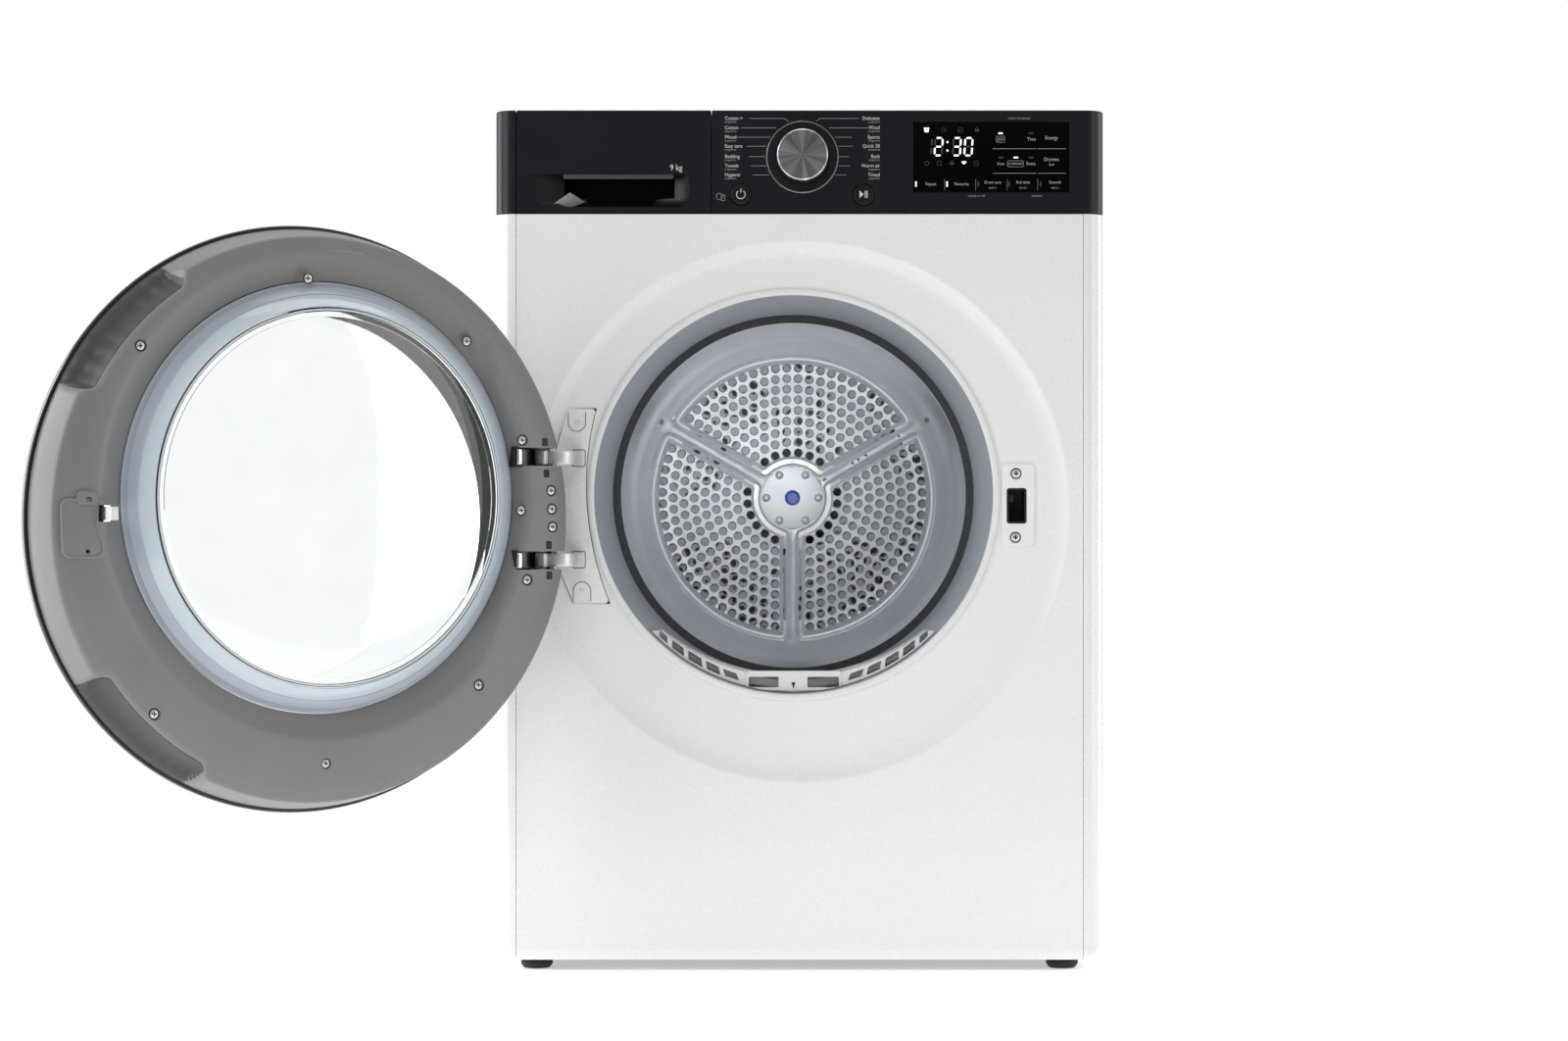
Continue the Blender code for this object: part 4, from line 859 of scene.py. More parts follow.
def build_labels():
    """Generic programme words beside the dial, each with a line towards its position."""
    face = -PRINT_THICK
    parts, fine = [], []
    z = [0.8294, 0.8202, 0.8109, 0.8021, 0.7919, 0.7827, 0.7738]
    left = ("Cotton +", "Cotton", "Mixed", "Easy care", "Bedding", "Towels", "Hygiene")
    right = ("Delicates", "Wool", "Sports", "Quick 30", "Rack", "Warm air", "Timed")
    edge_left, edge_right = -0.0737, 0.0790
    line_left = [(-0.0492, -0.0144), (-0.0579, -0.0231), (-0.0637, -0.0289), (-0.0521, -0.0328),
                 (-0.0501, -0.0337),
                 (-0.0482, -0.0328), (-0.0463, -0.0299)]
    line_right = [(0.0193, 0.0579), (0.0290, 0.0690), (0.0347, 0.0512), (0.0386, 0.0521), (0.0391, 0.0482),
                  (0.0386, 0.0492), (0.0347, 0.0463)]
    for row in range(7):
        parts.append(text(left[row], 0.0050, (edge_left, depth(face), z[row] - 0.0001), squeeze=0.92))
        parts.append(text(right[row], 0.0050, (edge_right, depth(face), z[row] - 0.0001), "RIGHT",
                          squeeze=0.92))
        under = z[row] - 0.0036
        fine.append(text("programme", 0.0024, (edge_left, depth(face), under)))
        fine.append(text("programme", 0.0024, (edge_right, depth(face), under), "RIGHT"))
        for start, end in (line_left[row], line_right[row]):
            fine.append(strip(start, end, z[row] - 0.0004, z[row], face))
    for a, b in (((-0.0144, 0.8290), (-0.0110, 0.8262)), ((0.0164, 0.8262), (0.0193, 0.8290))):
        fine.append(tube([(a[0], depth(face), a[1]), (b[0], depth(face), b[1])], 0.00022, 6))
    x, zc = -0.0788, 0.7525
    loop = [(x + 0.0032 * math.cos(math.tau * k / 40), depth(face),
             zc + 0.0032 * math.sin(math.tau * k / 40)) for k in range(40)]
    fine.append(tube(loop, 0.00022, 6, True))
    case = corners(rectangle(x + 0.0016, x + 0.0052, zc - 0.0042, zc + 0.0014), 0.0006)
    fine.append(tube([(a, depth(face), b) for a, b in case], 0.00022, 6, True))
    piece("programme_words", join(*parts), "white_plastic", "cabinet", finish=INK)
    piece("programme_lines", join(*fine), "white_plastic", "cabinet", finish=DIM_LABEL)
    piece("capacity_mark", text("9 kg", 0.0086, (-0.1216, depth(face), 0.7806), "CENTER", squeeze=0.85),
          "white_plastic", "tank_drawer", finish=INK)


SEGMENTS = {"2": "abged", "3": "abgcd", "0": "abcdef", "1": "bc"}


def digit(character, x, z, wide, high, thick, face, unlit=False):
    """A seven-segment digit, from its lower left corner."""
    t, lean = thick / 2, 0.06
    spots = {
        "a": ((t, high), (wide - t, high)), "g": ((t, high / 2), (wide - t, high / 2)),
        "d": ((t, 0), (wide - t, 0)),
        "f": ((0, high / 2 + t), (0, high - t)), "b": ((wide, high / 2 + t), (wide, high - t)),
        "e": ((0, t), (0, high / 2 - t)), "c": ((wide, t), (wide, high / 2 - t)),
    }
    parts = []
    for name, ((x0, z0), (x1, z1)) in spots.items():
        if (name in SEGMENTS[character]) == unlit:
            continue
        along = Vector((x1 - x0, z1 - z0)).normalized()
        across = Vector((-along.y, along.x)) * t
        a, b = Vector((x0, z0)), Vector((x1, z1))
        shape = [a, a + along * t + across, b - along * t + across, b, b - along * t - across,
                 a + along * t - across]
        shape = [(x + p.x + lean * p.y, z + p.y) for p in shape]
        parts.append(prism(shape, face - PRINT_THICK, face + PRINT_THICK))
    return parts


def build_display():
    (x0, x1), (z0, z1) = DISPLAY_X, DISPLAY_Z
    pane = soft_box((x0, -0.0003, z0), (x1, 0.0022, z1), 0.0003, 2)
    piece("display_pane", pane, "dark_glass", "cabinet", ["display_window"])
    face = -0.00036

    def at(u, v):
        """A point of the display from shares of its width and height, from its top left corner."""
        return x0 + (x1 - x0) * u, z1 - (z1 - z0) * v

    lit, dim, ink = [], [], []
    for character, u in (("2", 0.135), ("3", 0.252), ("0", 0.327)):
        x, z = at(u, 0.475)
        lit += digit(character, x, z, 0.0072, 0.0172, 0.0017, face)
        dim += digit(character, x, z, 0.0072, 0.0172, 0.0017, face, True)
    x, z = at(0.0985, 0.475)
    dim += digit("1", x - 0.0050, z, 0.0072, 0.0172, 0.0017, face)
    for v in (0.285, 0.405):
        x, z = at(0.2185, v)
        lit.append(strip(x - 0.0009, x + 0.0009, z - 0.0009, z + 0.0009, face))

    def icon(u, v, kind, into):
        x, z = at(u, v)
        y = depth(face)
        if kind == "tub":
            into.append(prism([(x - 0.0026, z + 0.0022), (x + 0.0026, z + 0.0022), (x + 0.0019, z - 0.0022),
                               (x - 0.0019, z - 0.0022)],
                              face - PRINT_THICK, face + PRINT_THICK))
        elif kind == "ring":
            loop = [(x + 0.0020 * math.cos(math.tau * k / 24), y,
                     z + 0.0020 * math.sin(math.tau * k / 24)) for k in range(24)]
            into.append(tube(loop, 0.00025, 6, True))
        elif kind == "signal":
            for r in (0.0012, 0.0024, 0.0036):
                arc = [(x + r * math.sin(math.radians(a)), y,
                        z - 0.0018 + r * math.cos(math.radians(a))) for a in range(-42, 43, 12)]
                into.append(tube(arc, 0.00036, 6))
        elif kind == "key":
            into.append(strip(x - 0.0020, x + 0.0020, z - 0.0016, z + 0.0006, face))
            loop = [(x + 0.0013 * math.cos(math.radians(a)), y,
                     z + 0.0006 + 0.0018 * math.sin(math.radians(a))) for a in range(0, 181, 20)]
            into.append(tube(loop, 0.00025, 6))
        else:
            outline = corners(rectangle(x - 0.0021, x + 0.0021, z - 0.0021, z + 0.0021), 0.0006)
            into.append(tube([(a, y, b) for a, b in outline], 0.00025, 6, True))
            into.append(strip(x - 0.0010, x + 0.0010, z - 0.0002, z + 0.0002, face))

    for u, kind, into in ((0.084, "tub", lit), (0.194, "ring", dim), (0.302, "case", dim), (0.408, "key", dim)):
        icon(u, 0.110, kind, into)
    for u, kind, into in ((0.086, "ring", dim), (0.166, "case", dim), (0.247, "key", dim),
                          (0.325, "signal", lit), (0.403, "case", dim)):
        icon(u, 0.588, kind, into)

    for u, v, on in ((0.560, 0.158, True), (0.756, 0.158, False), (0.562, 0.505, False), (0.659, 0.505, True),
                     (0.756, 0.505, False)):
        x, z = at(u, v)
        (lit if on else dim).append(strip(x - 0.0022, x + 0.0022, z - 0.0007, z + 0.0007, face))
    words = [
        ("ECO", 0.560, 0.246, 0.0034), ("Time", 0.759, 0.243, 0.0046), ("Energy", 0.888, 0.225, 0.0052),
        ("Iron", 0.562, 0.594, 0.0046), ("CUPBOARD", 0.656, 0.594, 0.0030), ("Extra", 0.755, 0.594, 0.0046),
        ("Dryness", 0.888, 0.532, 0.0050), ("level", 0.888, 0.607, 0.0032),
        ("Repeat", 0.112, 0.885, 0.0042), ("Favourite", 0.310, 0.885, 0.0042),
        ("Drum care", 0.510, 0.860, 0.0042), ("hold 3 s", 0.510, 0.940, 0.0026),
        ("End time", 0.705, 0.860, 0.0042), ("hold 3 s", 0.705, 0.940, 0.0026),
        ("Smooth", 0.910, 0.860, 0.0042), ("hold 3 s", 0.910, 0.940, 0.0026),
    ]
    for body, u, v, size in words:
        x, z = at(u, v)
        ink.append(text(body, size, (x, depth(face), z), "CENTER", squeeze=0.9))
    for u0, u1, v in ((0.510, 0.790, 0.380), (0.799, 0.980, 0.380), (0.510, 0.790, 0.730),
                      (0.799, 0.980, 0.730)):
        (xa, z), (xb, _) = at(u0, v), at(u1, v)
        ink.append(strip(xa, xb, z - 0.0002, z + 0.0002, face))
    for u, v, half in ((0.560, 0.246, 0.0041), (0.656, 0.594, 0.0078)):
        x, z = at(u, v)
        loop = corners(rectangle(x - half, x + half, z - 0.0030, z + 0.0030), 0.0010)
        ink.append(tube([(a, depth(face), b) for a, b in loop], 0.00018, 6, True))
    for u, on in ((0.016, True), (0.216, True), (0.417, False), (0.615, False), (0.817, False)):
        x, z = at(u, 0.886)
        (lit if on else dim).append(strip(x - 0.0007, x + 0.0007, z - 0.0026, z + 0.0026, face))
    for u in (0.201, 0.400, 0.602, 0.799):
        x, z = at(u, 0.895)
        ink.append(strip(x - 0.0001, x + 0.0001, z - 0.0056, z + 0.0056, face))
    piece("display_lit", join(*lit), "white_plastic", "cabinet", finish=LIT)
    piece("display_unlit", join(*dim), "dark_glass", "cabinet", finish=DIM_INK)
    piece("display_words", join(*ink), "white_plastic", "cabinet", finish=DIM_LABEL)
    notes = []
    for body, x, z in (("hold 3 s for options", 0.2160, 0.8294), ("remote on / off", 0.1740, 0.7530),
                       ("child lock", 0.2335, 0.7530)):
        notes.append(text(body, 0.0027, (x, depth(-PRINT_THICK), z), "CENTER"))
    piece("display_notes", join(*notes), "white_plastic", "cabinet", finish=DIM_LABEL)


def build_drawer():
    left, right, back = -SEAM_X + GAP, SPLIT_X - GAP, 0.0340
    front = box((left, 0, BAND_Z), (right, back, BAND_TOP))
    edges = [e for e in front.edges
             if all(abs(v.co.z - BAND_TOP) < TINY and abs(v.co.y - FRONT_Y) < TINY for v in e.verts)]
    bmesh.ops.bevel(front, geom=edges, offset=0.0016, segments=4, profile=0.5, affect="EDGES")
    front = combine(front, box((-1, BAND_DEPTH, COVER_Z - 0.004), (1, 0.1, 1)))
    # The grip: a deep pocket with splayed ends, and a shallow scoop that runs into it from the left.
    x0, x1 = -0.2330, GRIP_X[1]
    z0, z1 = GRIP_Z

    def hollow(levels):
        """A pocket through (depth, left, right, low, high, rounding) levels."""
        bm = bmesh.new()
        loops = []
        for d, a, b, low, high, radius in levels:
            outline = corners(rectangle(a, b, low, high), [radius, radius, 0.0006, 0.0006], 8)
            loops.append([bm.verts.new((x, depth(d), z)) for x, z in outline])
        for first, second in zip(loops, loops[1:]):
            bridge(bm, first, second)
        bm.faces.new(loops[0])
        bm.faces.new(loops[-1])
        return bm

    pocket = hollow([
        (-0.010, x0 - 0.012, x1, z0 - 0.0022, z1, 0.012), (0.0, x0 - 0.012, x1, z0, z1, 0.012),
        (0.0010, x0 - 0.0112, x1 - 0.0004, z0 + 0.0008, z1, 0.0118),
        (0.0080, x0 - 0.0050, x1 - 0.0080, z0 + 0.0014, z1, 0.011),
        (0.0160, x0 + 0.0090, x1 - 0.0240, z0 + 0.0020, z1, 0.009),
        (0.0280, x0 + 0.0240, x1 - 0.0360, z0 + 0.0040, z1, 0.006),
    ])
    front = combine(front, pocket)
    front = combine(front, box((LIP_X[0], 0.0080, z0 + 0.010), (LIP_X[1], 0.0270, z1 + 0.017)))
    scoop = bmesh.new()
    loops, steps = [], 28
    for i in range(steps + 1):
        t = i / steps
        x = GRIP_X[0] + (x0 + 0.006 - GRIP_X[0]) * t
        sink = 0.0135 * math.sin(t * math.pi / 2) ** 2
        low = z0 + 0.0095 * (1 - t) ** 1.6
        section = [(-0.010, low), (-0.010, z1), (sink + 0.0001, z1), (sink * 0.92 + 0.0001, (z1 + low) / 2),
                   (sink * 0.60 + 0.0001, low + 0.006), (sink * 0.15 + 0.00005, low + 0.0012), (0, low)]
        loops.append([scoop.verts.new((x, depth(d), z)) for d, z in section])
    for first, second in zip(loops, loops[1:]):
        bridge(scoop, first, second)
    scoop.faces.new(loops[0])
    scoop.faces.new(loops[-1])
    front = combine(front, scoop)
    weighted(piece("drawer_front", front, "black_panel", "tank_drawer", ["tank_drawer_front"], smooth=30))
    lip = soft_box((LIP_X[0], 0.0006, z1 - 0.0046), (LIP_X[1] - 0.0008, 0.0040, z1 + 0.0002), 0.0008, 3)
    piece("drawer_lip", lip, "black_panel", "tank_drawer", finish=LIP_BLACK)
    # Painted shade: a near-black skin deep in the pocket, darker than the panel, for the shade inside the grip.
    lining = [
        (0.0290, x0 - 0.0030, x1 - 0.0080, z0 + 0.0010, z1 + 0.0006, 0.006),
        (0.0264, x0 - 0.0010, x1 - 0.0100, z0 + 0.0028, z1 + 0.0003, 0.006),
    ]
    piece("grip_shadow", hollow(lining), "black_panel", "tank_drawer", finish=GRIP_PAINTED_SHADE)
    # Painted highlights: two thin light-grey facets at the pocket's ends, for the light its slanted walls catch.
    facets = []
    for spots in (((-0.2264, 0.7568, 0.0060), (-0.2119, 0.7485, 0.0165), (-0.2235, 0.7432, 0.0105),
                   (-0.2462, 0.7424, 0.0022)),
                  ((-0.1233, 0.7468, 0.0160), (-0.1113, 0.7550, 0.0105), (-0.1082, 0.7650, 0.0022),
                   (-0.1070, 0.7520, 0.0022),
                   (-0.1107, 0.7450, 0.0022), (-0.1176, 0.7424, 0.0090))):
        bm = bmesh.new()
        facet = bm.faces.new([bm.verts.new((x, depth(d), z)) for x, z, d in spots])
        bmesh.ops.recalc_face_normals(bm, faces=bm.faces)
        bm.normal_update()
        if facet.normal.y > 0:
            bmesh.ops.reverse_faces(bm, faces=[facet])
        bmesh.ops.solidify(bm, geom=bm.faces[:], thickness=0.0012)
        facets.append(bm)
    piece("grip_painted_highlights", join(*facets), "black_panel", "tank_drawer", finish=GRIP_PAINTED_HIGHLIGHT, smooth=60)


# ---------------------------------------------------------------- loading opening

# Each slot's angle from straight down, half its sweep, its middle radius and its width.
GRILLE_SLOTS = [(42.6, 1.7, 0.1903, 0.0052), (37.0, 2.2, 0.1899, 0.0066), (31.0, 2.4, 0.1893, 0.0074),
                (25.0, 2.2, 0.1888, 0.0070),
                (19.2, 2.2, 0.1884, 0.0060)]
HINGE_PLATE_SIDE = [(-0.2228, 0.3520), (-0.2373, 0.3863), (-0.2410, 0.4200), (-0.2410, 0.4800),
                    (-0.2392, 0.5060), (-0.2280, 0.5436)]
PLATE_STEPS = 24
HINGE_SCREWS = [(-0.2195, 0.5300), (-0.2145, 0.3645)]
LATCH_SCREWS = [(0.2135, 0.4799), (0.2129, 0.4170)]


def build_opening():
    (mouth, throat), end = FUNNEL_R, FUNNEL_END
    funnel = [
        (mouth + 0.0006, 0.0080), (0.2004, 0.0080), (0.1996, 0.0105), (throat + 0.0024, end + 0.0006),
        (0.3300, end + 0.0006), (0.3300, end + 0.0028), (throat, end + 0.0028), (throat, end, 0.0010),
        (mouth, 0.0100, 0.002),
    ]
    bm = turned(funnel, AXIS, FINE)
    cuts = [box((0.291, 0.05, -1), (1, 0.2, 2)), box((-1, 0.05, -1), (-0.291, 0.2, 2)),
            box((-0.3, 0.05, 0.7325), (0.3, 0.2, 2))]
    bm = combine(bm, join(*cuts))
    bm = combine(bm, box((AXIS[0] - 0.052, 0.040, 0.20), (AXIS[0] + 0.052, 0.070, 0.32)))
    reach, stubs = DRUM_R + 0.0308, []
    for angle in (230, 310):
        centre = around(AXIS, reach, math.radians(angle))
        stubs.append(cylinder(centre, 0.0045, end + 0.0010, 0.190, 48, ease=0.0008))
    piece("funnel", join(bm, *stubs), "white_plastic", "cabinet", ["front_bulkhead"], finish=FUNNEL_PAINT,
          smooth=30)
    lip = [(mouth + 0.0002, 0.0082), (mouth, 0.0068, 0.0010), (mouth + 0.0016, 0.0052, 0.0012),
           (0.2018, 0.0052, 0.0012),
           (0.2032, 0.0066, 0.0006), (0.2032, 0.0076), (0.2000, 0.0079)]
    piece("opening_lip", turned(lip, AXIS, FINE), "white_plastic", "cabinet")
    seal = [(0.1740, end + 0.0032, 0.0006), (0.1900, end + 0.0032), (0.1900, end + 0.0090),
            (0.1740, end + 0.0090, 0.0012)]
    piece("felt_ring", turned(seal, AXIS, FINE), "felt", "cabinet", ["drum_seal"])
    build_grille()


def build_grille():
    (mouth, throat), end = FUNNEL_R, FUNNEL_END
    slope = (throat - mouth) / (end - 0.0100)
    radii = [mouth + slope * (d - 0.0100) - 0.0006 for d in (0.0160, 0.0860)]
    bm = turned([(0, 0.0160), (radii[0], 0.0160, 0.0010), (radii[1], 0.0860), (0, 0.0860)], AXIS, FINE)
    bm = combine(bm, turned([(0, 0.0), (0.2108, 0.0), (0.2096, 0.0164, 0.0006), (0.2090, 0.0185), (0.2090, 0.1),
                             (0, 0.1)],
                            (AXIS[0], AXIS[1] + 0.0290), FINE))
    bm = combine(bm, box((-1, 0, 0.3246), (1, 0.1, 1)))
    bm = combine(bm, box((AXIS[0] - 0.0475, 0.0430, 0.2), (AXIS[0] + 0.0475, 0.0670, 0.4)))
    slots = []
    for turn, half, radius, high in GRILLE_SLOTS:
        for mirror in (1, -1):
            outline = []
            for side, edge in ((-1, -1), (1, -1), (1, 1), (-1, 1)):
                a = math.radians(270 - mirror * (turn + side * half - edge * 0.8))
                r = radius + edge * high / 2
                outline.append(around(AXIS, r, a))
            slots.append(prism(corners(outline, 0.0008, 3), 0.0100, 0.0270))
    bm = combine(bm, join(*slots))
    raised = corners(rectangle(-0.0530, 0.0410, 0.2655, 0.2850), 0.0030)
    ridge = prism(raised, 0.0148, 0.0220, ease=0.0008)
    holes = [prism(corners(rectangle(a, b, 0.2687, 0.2792), 0.0014, 4), 0.0100, 0.0270)
             for a, b in ((-0.0524 + 0.002, -0.0207), (0.0078, 0.0390))]
    holes.append(cylinder((-0.0061, 0.2722), 0.0019, 0.0100, 0.0270, 32))
    holes.append(prism(corners(rectangle(-0.0068, -0.0054, 0.2680, 0.2720), 0.0004, 3), 0.0100, 0.0270))
    limit = turned([(0, 0.0), (radii[0], 0.0), (radii[0], 0.0300), (0, 0.0300)], AXIS, FINE)
    ridge = combine(ridge, limit, "INTERSECT")
    bm = combine(bm, ridge, "UNION")
    for hole in holes:
        bm = combine(bm, hole)
    piece("grille", bm, "white_plastic", "cabinet", ["filter_grille"], smooth=30)
    back = turned([(0, 0.0205), (radii[0] - 0.004, 0.0205), (radii[0] - 0.004, 0.0215), (0, 0.0215)], AXIS,
                  TURN)
    back = combine(back, cylinder((AXIS[0], AXIS[1] + 0.0290), 0.2120, 0, 0.1, TURN))
    back = combine(back, box((-1, 0, 0.3235), (1, 0.1, 1)))
    piece("grille_mesh", back, "white_plastic", "cabinet", finish=MESH_GREY)

    low, top, half = 0.130, 0.2800, 0.0465
    frame_low, frame_high = (AXIS[0] - half, 0.0440, low), (AXIS[0] + half, 0.0660, top)
    bm = soft_box(frame_low, frame_high, 0.0015, 4)
    window = [rounded(box((AXIS[0] - half + 0.006, a, low + 0.006), (AXIS[0] + half - 0.006, b, top - 0.025)),
                      0.0008, 2)
              for a, b in ((0.040, 0.0530), (0.0570, 0.070))]
    bm = combine(bm, join(*window))
    tab = soft_box((AXIS[0] - 0.016, 0.0445, top - 0.012), (AXIS[0] + 0.016, 0.0470, top + 0.0006), 0.0006, 3)
    piece("lint_cassette", join(bm, tab), "white_plastic", "filter_cassette", ["lint_filter"], smooth=30)
    mesh = box((AXIS[0] - half + 0.004, 0.0545, low + 0.004), (AXIS[0] + half - 0.004, 0.0555, top - 0.023))
    piece("lint_mesh", mesh, "white_plastic", "filter_cassette", finish=DARK_VOID)


def plate_edge(side, z0, z1, grow=0.0):
    """The hinge plate's outline: the given points on its outer side, a shallow arc beside the opening."""
    arc = []
    for i in range(PLATE_STEPS + 1):
        z = z0 + (z1 - z0) * i / PLATE_STEPS
        off = z - 0.4635
        arc.append((-0.2106 - 0.0161 * off + 1.7188 * off * off + grow, z))
    return [*side, *reversed(arc)]


def build_hinge():
    outline = plate_edge(HINGE_PLATE_SIDE, 0.3520, 0.5436)
    outline = corners(outline, [0.003] + [0.004] * 4 + [0.002, 0.003] + [0] * (PLATE_STEPS - 1) + [0.004], 5)
    plate = prism(outline, 0.0052, 0.0076, ease=0.0005)
    # Painted shadow: a black sheet just behind the plate and a little larger, seen as a thin dark line round its edge.
    gap = plate_edge([(x - 0.0008, z) for x, z in HINGE_PLATE_SIDE], 0.3514, 0.5442, 0.0006)
    piece("hinge_plate_edge_shadow", prism(gap, 0.0074, 0.0079), "black_plastic", "cabinet")
    piece("hinge_plate", plate, "galvanised_steel", "cabinet", ["hinge_bracket"], finish=PLATE_PAINT, smooth=30)
    washers = []
    for spot in HINGE_SCREWS:
        washer = [(0.0058, 0.0066), (0.0062, 0.0058, 0.0003), (0.0070, 0.0058, 0.0003), (0.0074, 0.0066)]
        washers.append(turned(washer, spot, 64))
    piece("hinge_washers", join(*washers), "galvanised_steel", "cabinet")
    piece("hinge_screws", screw_heads(HINGE_SCREWS, 0.0046, 0.0064), "chrome", "cabinet", finish=SATIN)
    lines = []
    for (x, z), far in zip(HINGE_SCREWS, (0.0100, -0.0100)):
        reach = 0.0086
        sweep = range(180, 361, 12) if far > 0 else range(180, -1, -12)
        path = [(x - reach, depth(0.0052), z + far)]
        bend = [around((x, z), reach, math.radians(a)) for a in sweep]
        path += [(a, depth(0.0052), b) for a, b in bend]
        path.append((x + reach, depth(0.0052), z + far))
        lines.append(tube(path, 0.00045, 8))
    for z in HINGE_Z:
        foot = corners(rectangle(-0.2240, -0.2112, z - 0.0082, z + 0.0082), 0.0020, 4)
        lines.append(tube([(x, depth(0.0052), z) for x, z in foot], 0.0005, 8, True))
    piece("hinge_plate_lines", join(*lines), "galvanised_steel", "cabinet", finish=SEAM_GREY)

    start, bend, end = Vector((-0.2165, 0.0050)), Vector((-0.2165, -0.0290)), Vector((-0.2480, -0.0300))
    spots, steps = [], 24
    for i in range(steps + 1):
        t = i / steps
        spot = start * (1 - t) ** 2 + bend * 2 * t * (1 - t) + end * t**2
        way = ((bend - start) * (1 - t) + (end - bend) * t).normalized()
        spots.append((spot, Vector((-way.y, way.x)) * 0.0025))
    outline = [tuple(s + n) for s, n in spots] + [tuple(s - n) for s, n in reversed(spots)]
    pivot = (PIVOT[0], depth(PIVOT[1]))
    for name, z in zip(("upper", "lower"), HINGE_Z):
        low, high = z - 0.0065, z + 0.0065
        bm = prism(outline, low, high, True, 0.0007)
        bm = combine(bm, cylinder(pivot, 0.0065, low - 0.0003, high + 0.0003, 48, True, 0.0006), "UNION")
        bm = combine(bm, cylinder(pivot, 0.0035, low - 0.01, high + 0.01, 48, True))
        piece(f"arm_{name}", bm, "chrome", "cabinet", [f"hinge_arm_{name}"], finish=SATIN, smooth=40)
        block = soft_box((-0.2135, -0.0330, z - 0.0074), (-0.2078, RISE - 0.0012, z + 0.0074), 0.0010, 4)
        piece(f"leaf_block_{name}", block, "chrome", "door", swing=True)

        cheek, thick = 0.0078, 0.0022
        leaf = soft_box((-0.2580, -0.0400, z - cheek - thick), (-0.2150, -0.0385, z + cheek + thick), 0.0004, 2)
        for base in (z - cheek - thick, z + cheek):
            cheeks = prism(corners([(-0.2560, -0.0395), (-0.2400, -0.0395), (-0.2400, -0.0300),
                                    (-0.2440, -0.0240), (-0.2560, -0.0240)],
                                   0.0030, 5), base, base + thick, True, 0.0003)
            leaf = combine(leaf, cheeks, "UNION")
        pin = cylinder(pivot, 0.0030, z - cheek - thick - 0.0005, z + cheek + thick + 0.0005, 32, True, 0.0004)
        piece(f"leaf_{name}", combine(leaf, pin, "UNION"), "chrome", "door", [f"hinge_leaf_{name}"],
              finish=DARK_STEEL, swing=True, smooth=40)


def build_latch():
    half_x, half_z = LATCH_HALF
    wall = 0.0025
    outer = box((LATCH_X - half_x, 0.0072, LATCH_Z - half_z), (LATCH_X + half_x, 0.0420, LATCH_Z + half_z))
    rounded(outer, 0.0020, 4, lambda x, y, z: y < depth(0.0073))
    inner = rounded(box((LATCH_X - half_x + wall, 0.0, LATCH_Z - half_z + wall),
                        (LATCH_X + half_x - wall, 0.0390, LATCH_Z + half_z - wall)), 0.0012, 3)
    bm = combine(outer, inner)
    catch = soft_box((LATCH_X - half_x + wall, 0.0120, LATCH_Z + 0.0040),
                     (LATCH_X - half_x + 0.0075, 0.0300, LATCH_Z + 0.0120), 0.0008, 3)
    piece("latch_box", join(bm, catch), "black_plastic", "cabinet", ["latch_socket"], smooth=40)
    outline = corners(rectangle(0.2000, 0.2318, 0.4081, 0.4897), 0.0050, 8)
    plate = prism(outline, 0.0064, 0.0082, ease=0.0008)
    hole = rounded(box((LATCH_X - half_x + 0.0004, -0.05, LATCH_Z - half_z + 0.0004),
                       (LATCH_X + half_x - 0.0004, 0.05, LATCH_Z + half_z - 0.0004)), 0.0028, 4)
    plate = combine(plate, hole)
    wells = [turned([(0, 0.0), (0.0066, 0.0), (0.0066, 0.0064), (0.0056, 0.0072), (0, 0.0072)], spot, 64)
             for spot in LATCH_SCREWS]
    plate = combine(plate, join(*wells))
    weighted(piece("latch_plate", plate, "white_enamel", "cabinet", smooth=30))
    piece("latch_screws", screw_heads(LATCH_SCREWS, 0.0045, 0.0072), "chrome", "cabinet", finish=SATIN)
    piece("latch_screw_shadows", screw_shadows(LATCH_SCREWS, 0.0045, 0.0072), "rubber", "cabinet")

    x = HOOK_PIVOT[0]
    hook = [(x - 0.0035, -0.0120), (x + 0.0025, -0.0120), (x + 0.0025, 0.0110), (x + 0.0070, 0.0110),
            (x + 0.0030, 0.0180),
            (x - 0.0035, 0.0180)]
    bm = prism(corners(hook, 0.0008, 3), HOOK_Z[0], HOOK_Z[1], True, 0.0005)
    piece("hook", bm, "white_plastic", "latch", ["latch_hook"], swing=True, smooth=40)


def screw_shadows(spots, radius, face, facing=-1):
    """The dark ring round each screw and the bottom of its cross."""
    parts = []
    for x, z in spots:
        low, high = sorted((face + facing * 0.0001, face + facing * 0.0003))
        parts.append(turned([(radius * 0.9, low), (radius * 1.2, low), (radius * 1.2, high),
                             (radius * 0.9, high)], (x, z), 32))
        low, high = sorted((face + facing * radius * 0.05, face + facing * radius * 0.24))
        for wide, tall in ((radius * 0.60, radius * 0.13), (radius * 0.13, radius * 0.60)):
            parts.append(box((x - wide, low, z - tall), (x + wide, high, z + tall)))
    return join(*parts)


# ---------------------------------------------------------------- drum

HOLE_ROWS = [(22, 0.14540), (20, 0.13355), (18, 0.12170), (16, 0.10985), (14, 0.09800), (12, 0.08615),
             (10, 0.07430),
             (8, 0.06245), (6, 0.05060)]
HOLE_R = 0.0044
GROOVE_OUT, GROOVE_IN, GROOVE_OFF = 0.1550, 0.0410, 0.0087


def sector_holes():
    found = []
    for count, radius in HOLE_ROWS:
        reach = math.radians(60) - math.asin(0.0194 / radius)
        for i in range(count):
            angle = math.radians(90) - reach + 2 * reach * i / (count - 1)
            found.append((radius * math.cos(angle), radius * math.sin(angle)))
    return found


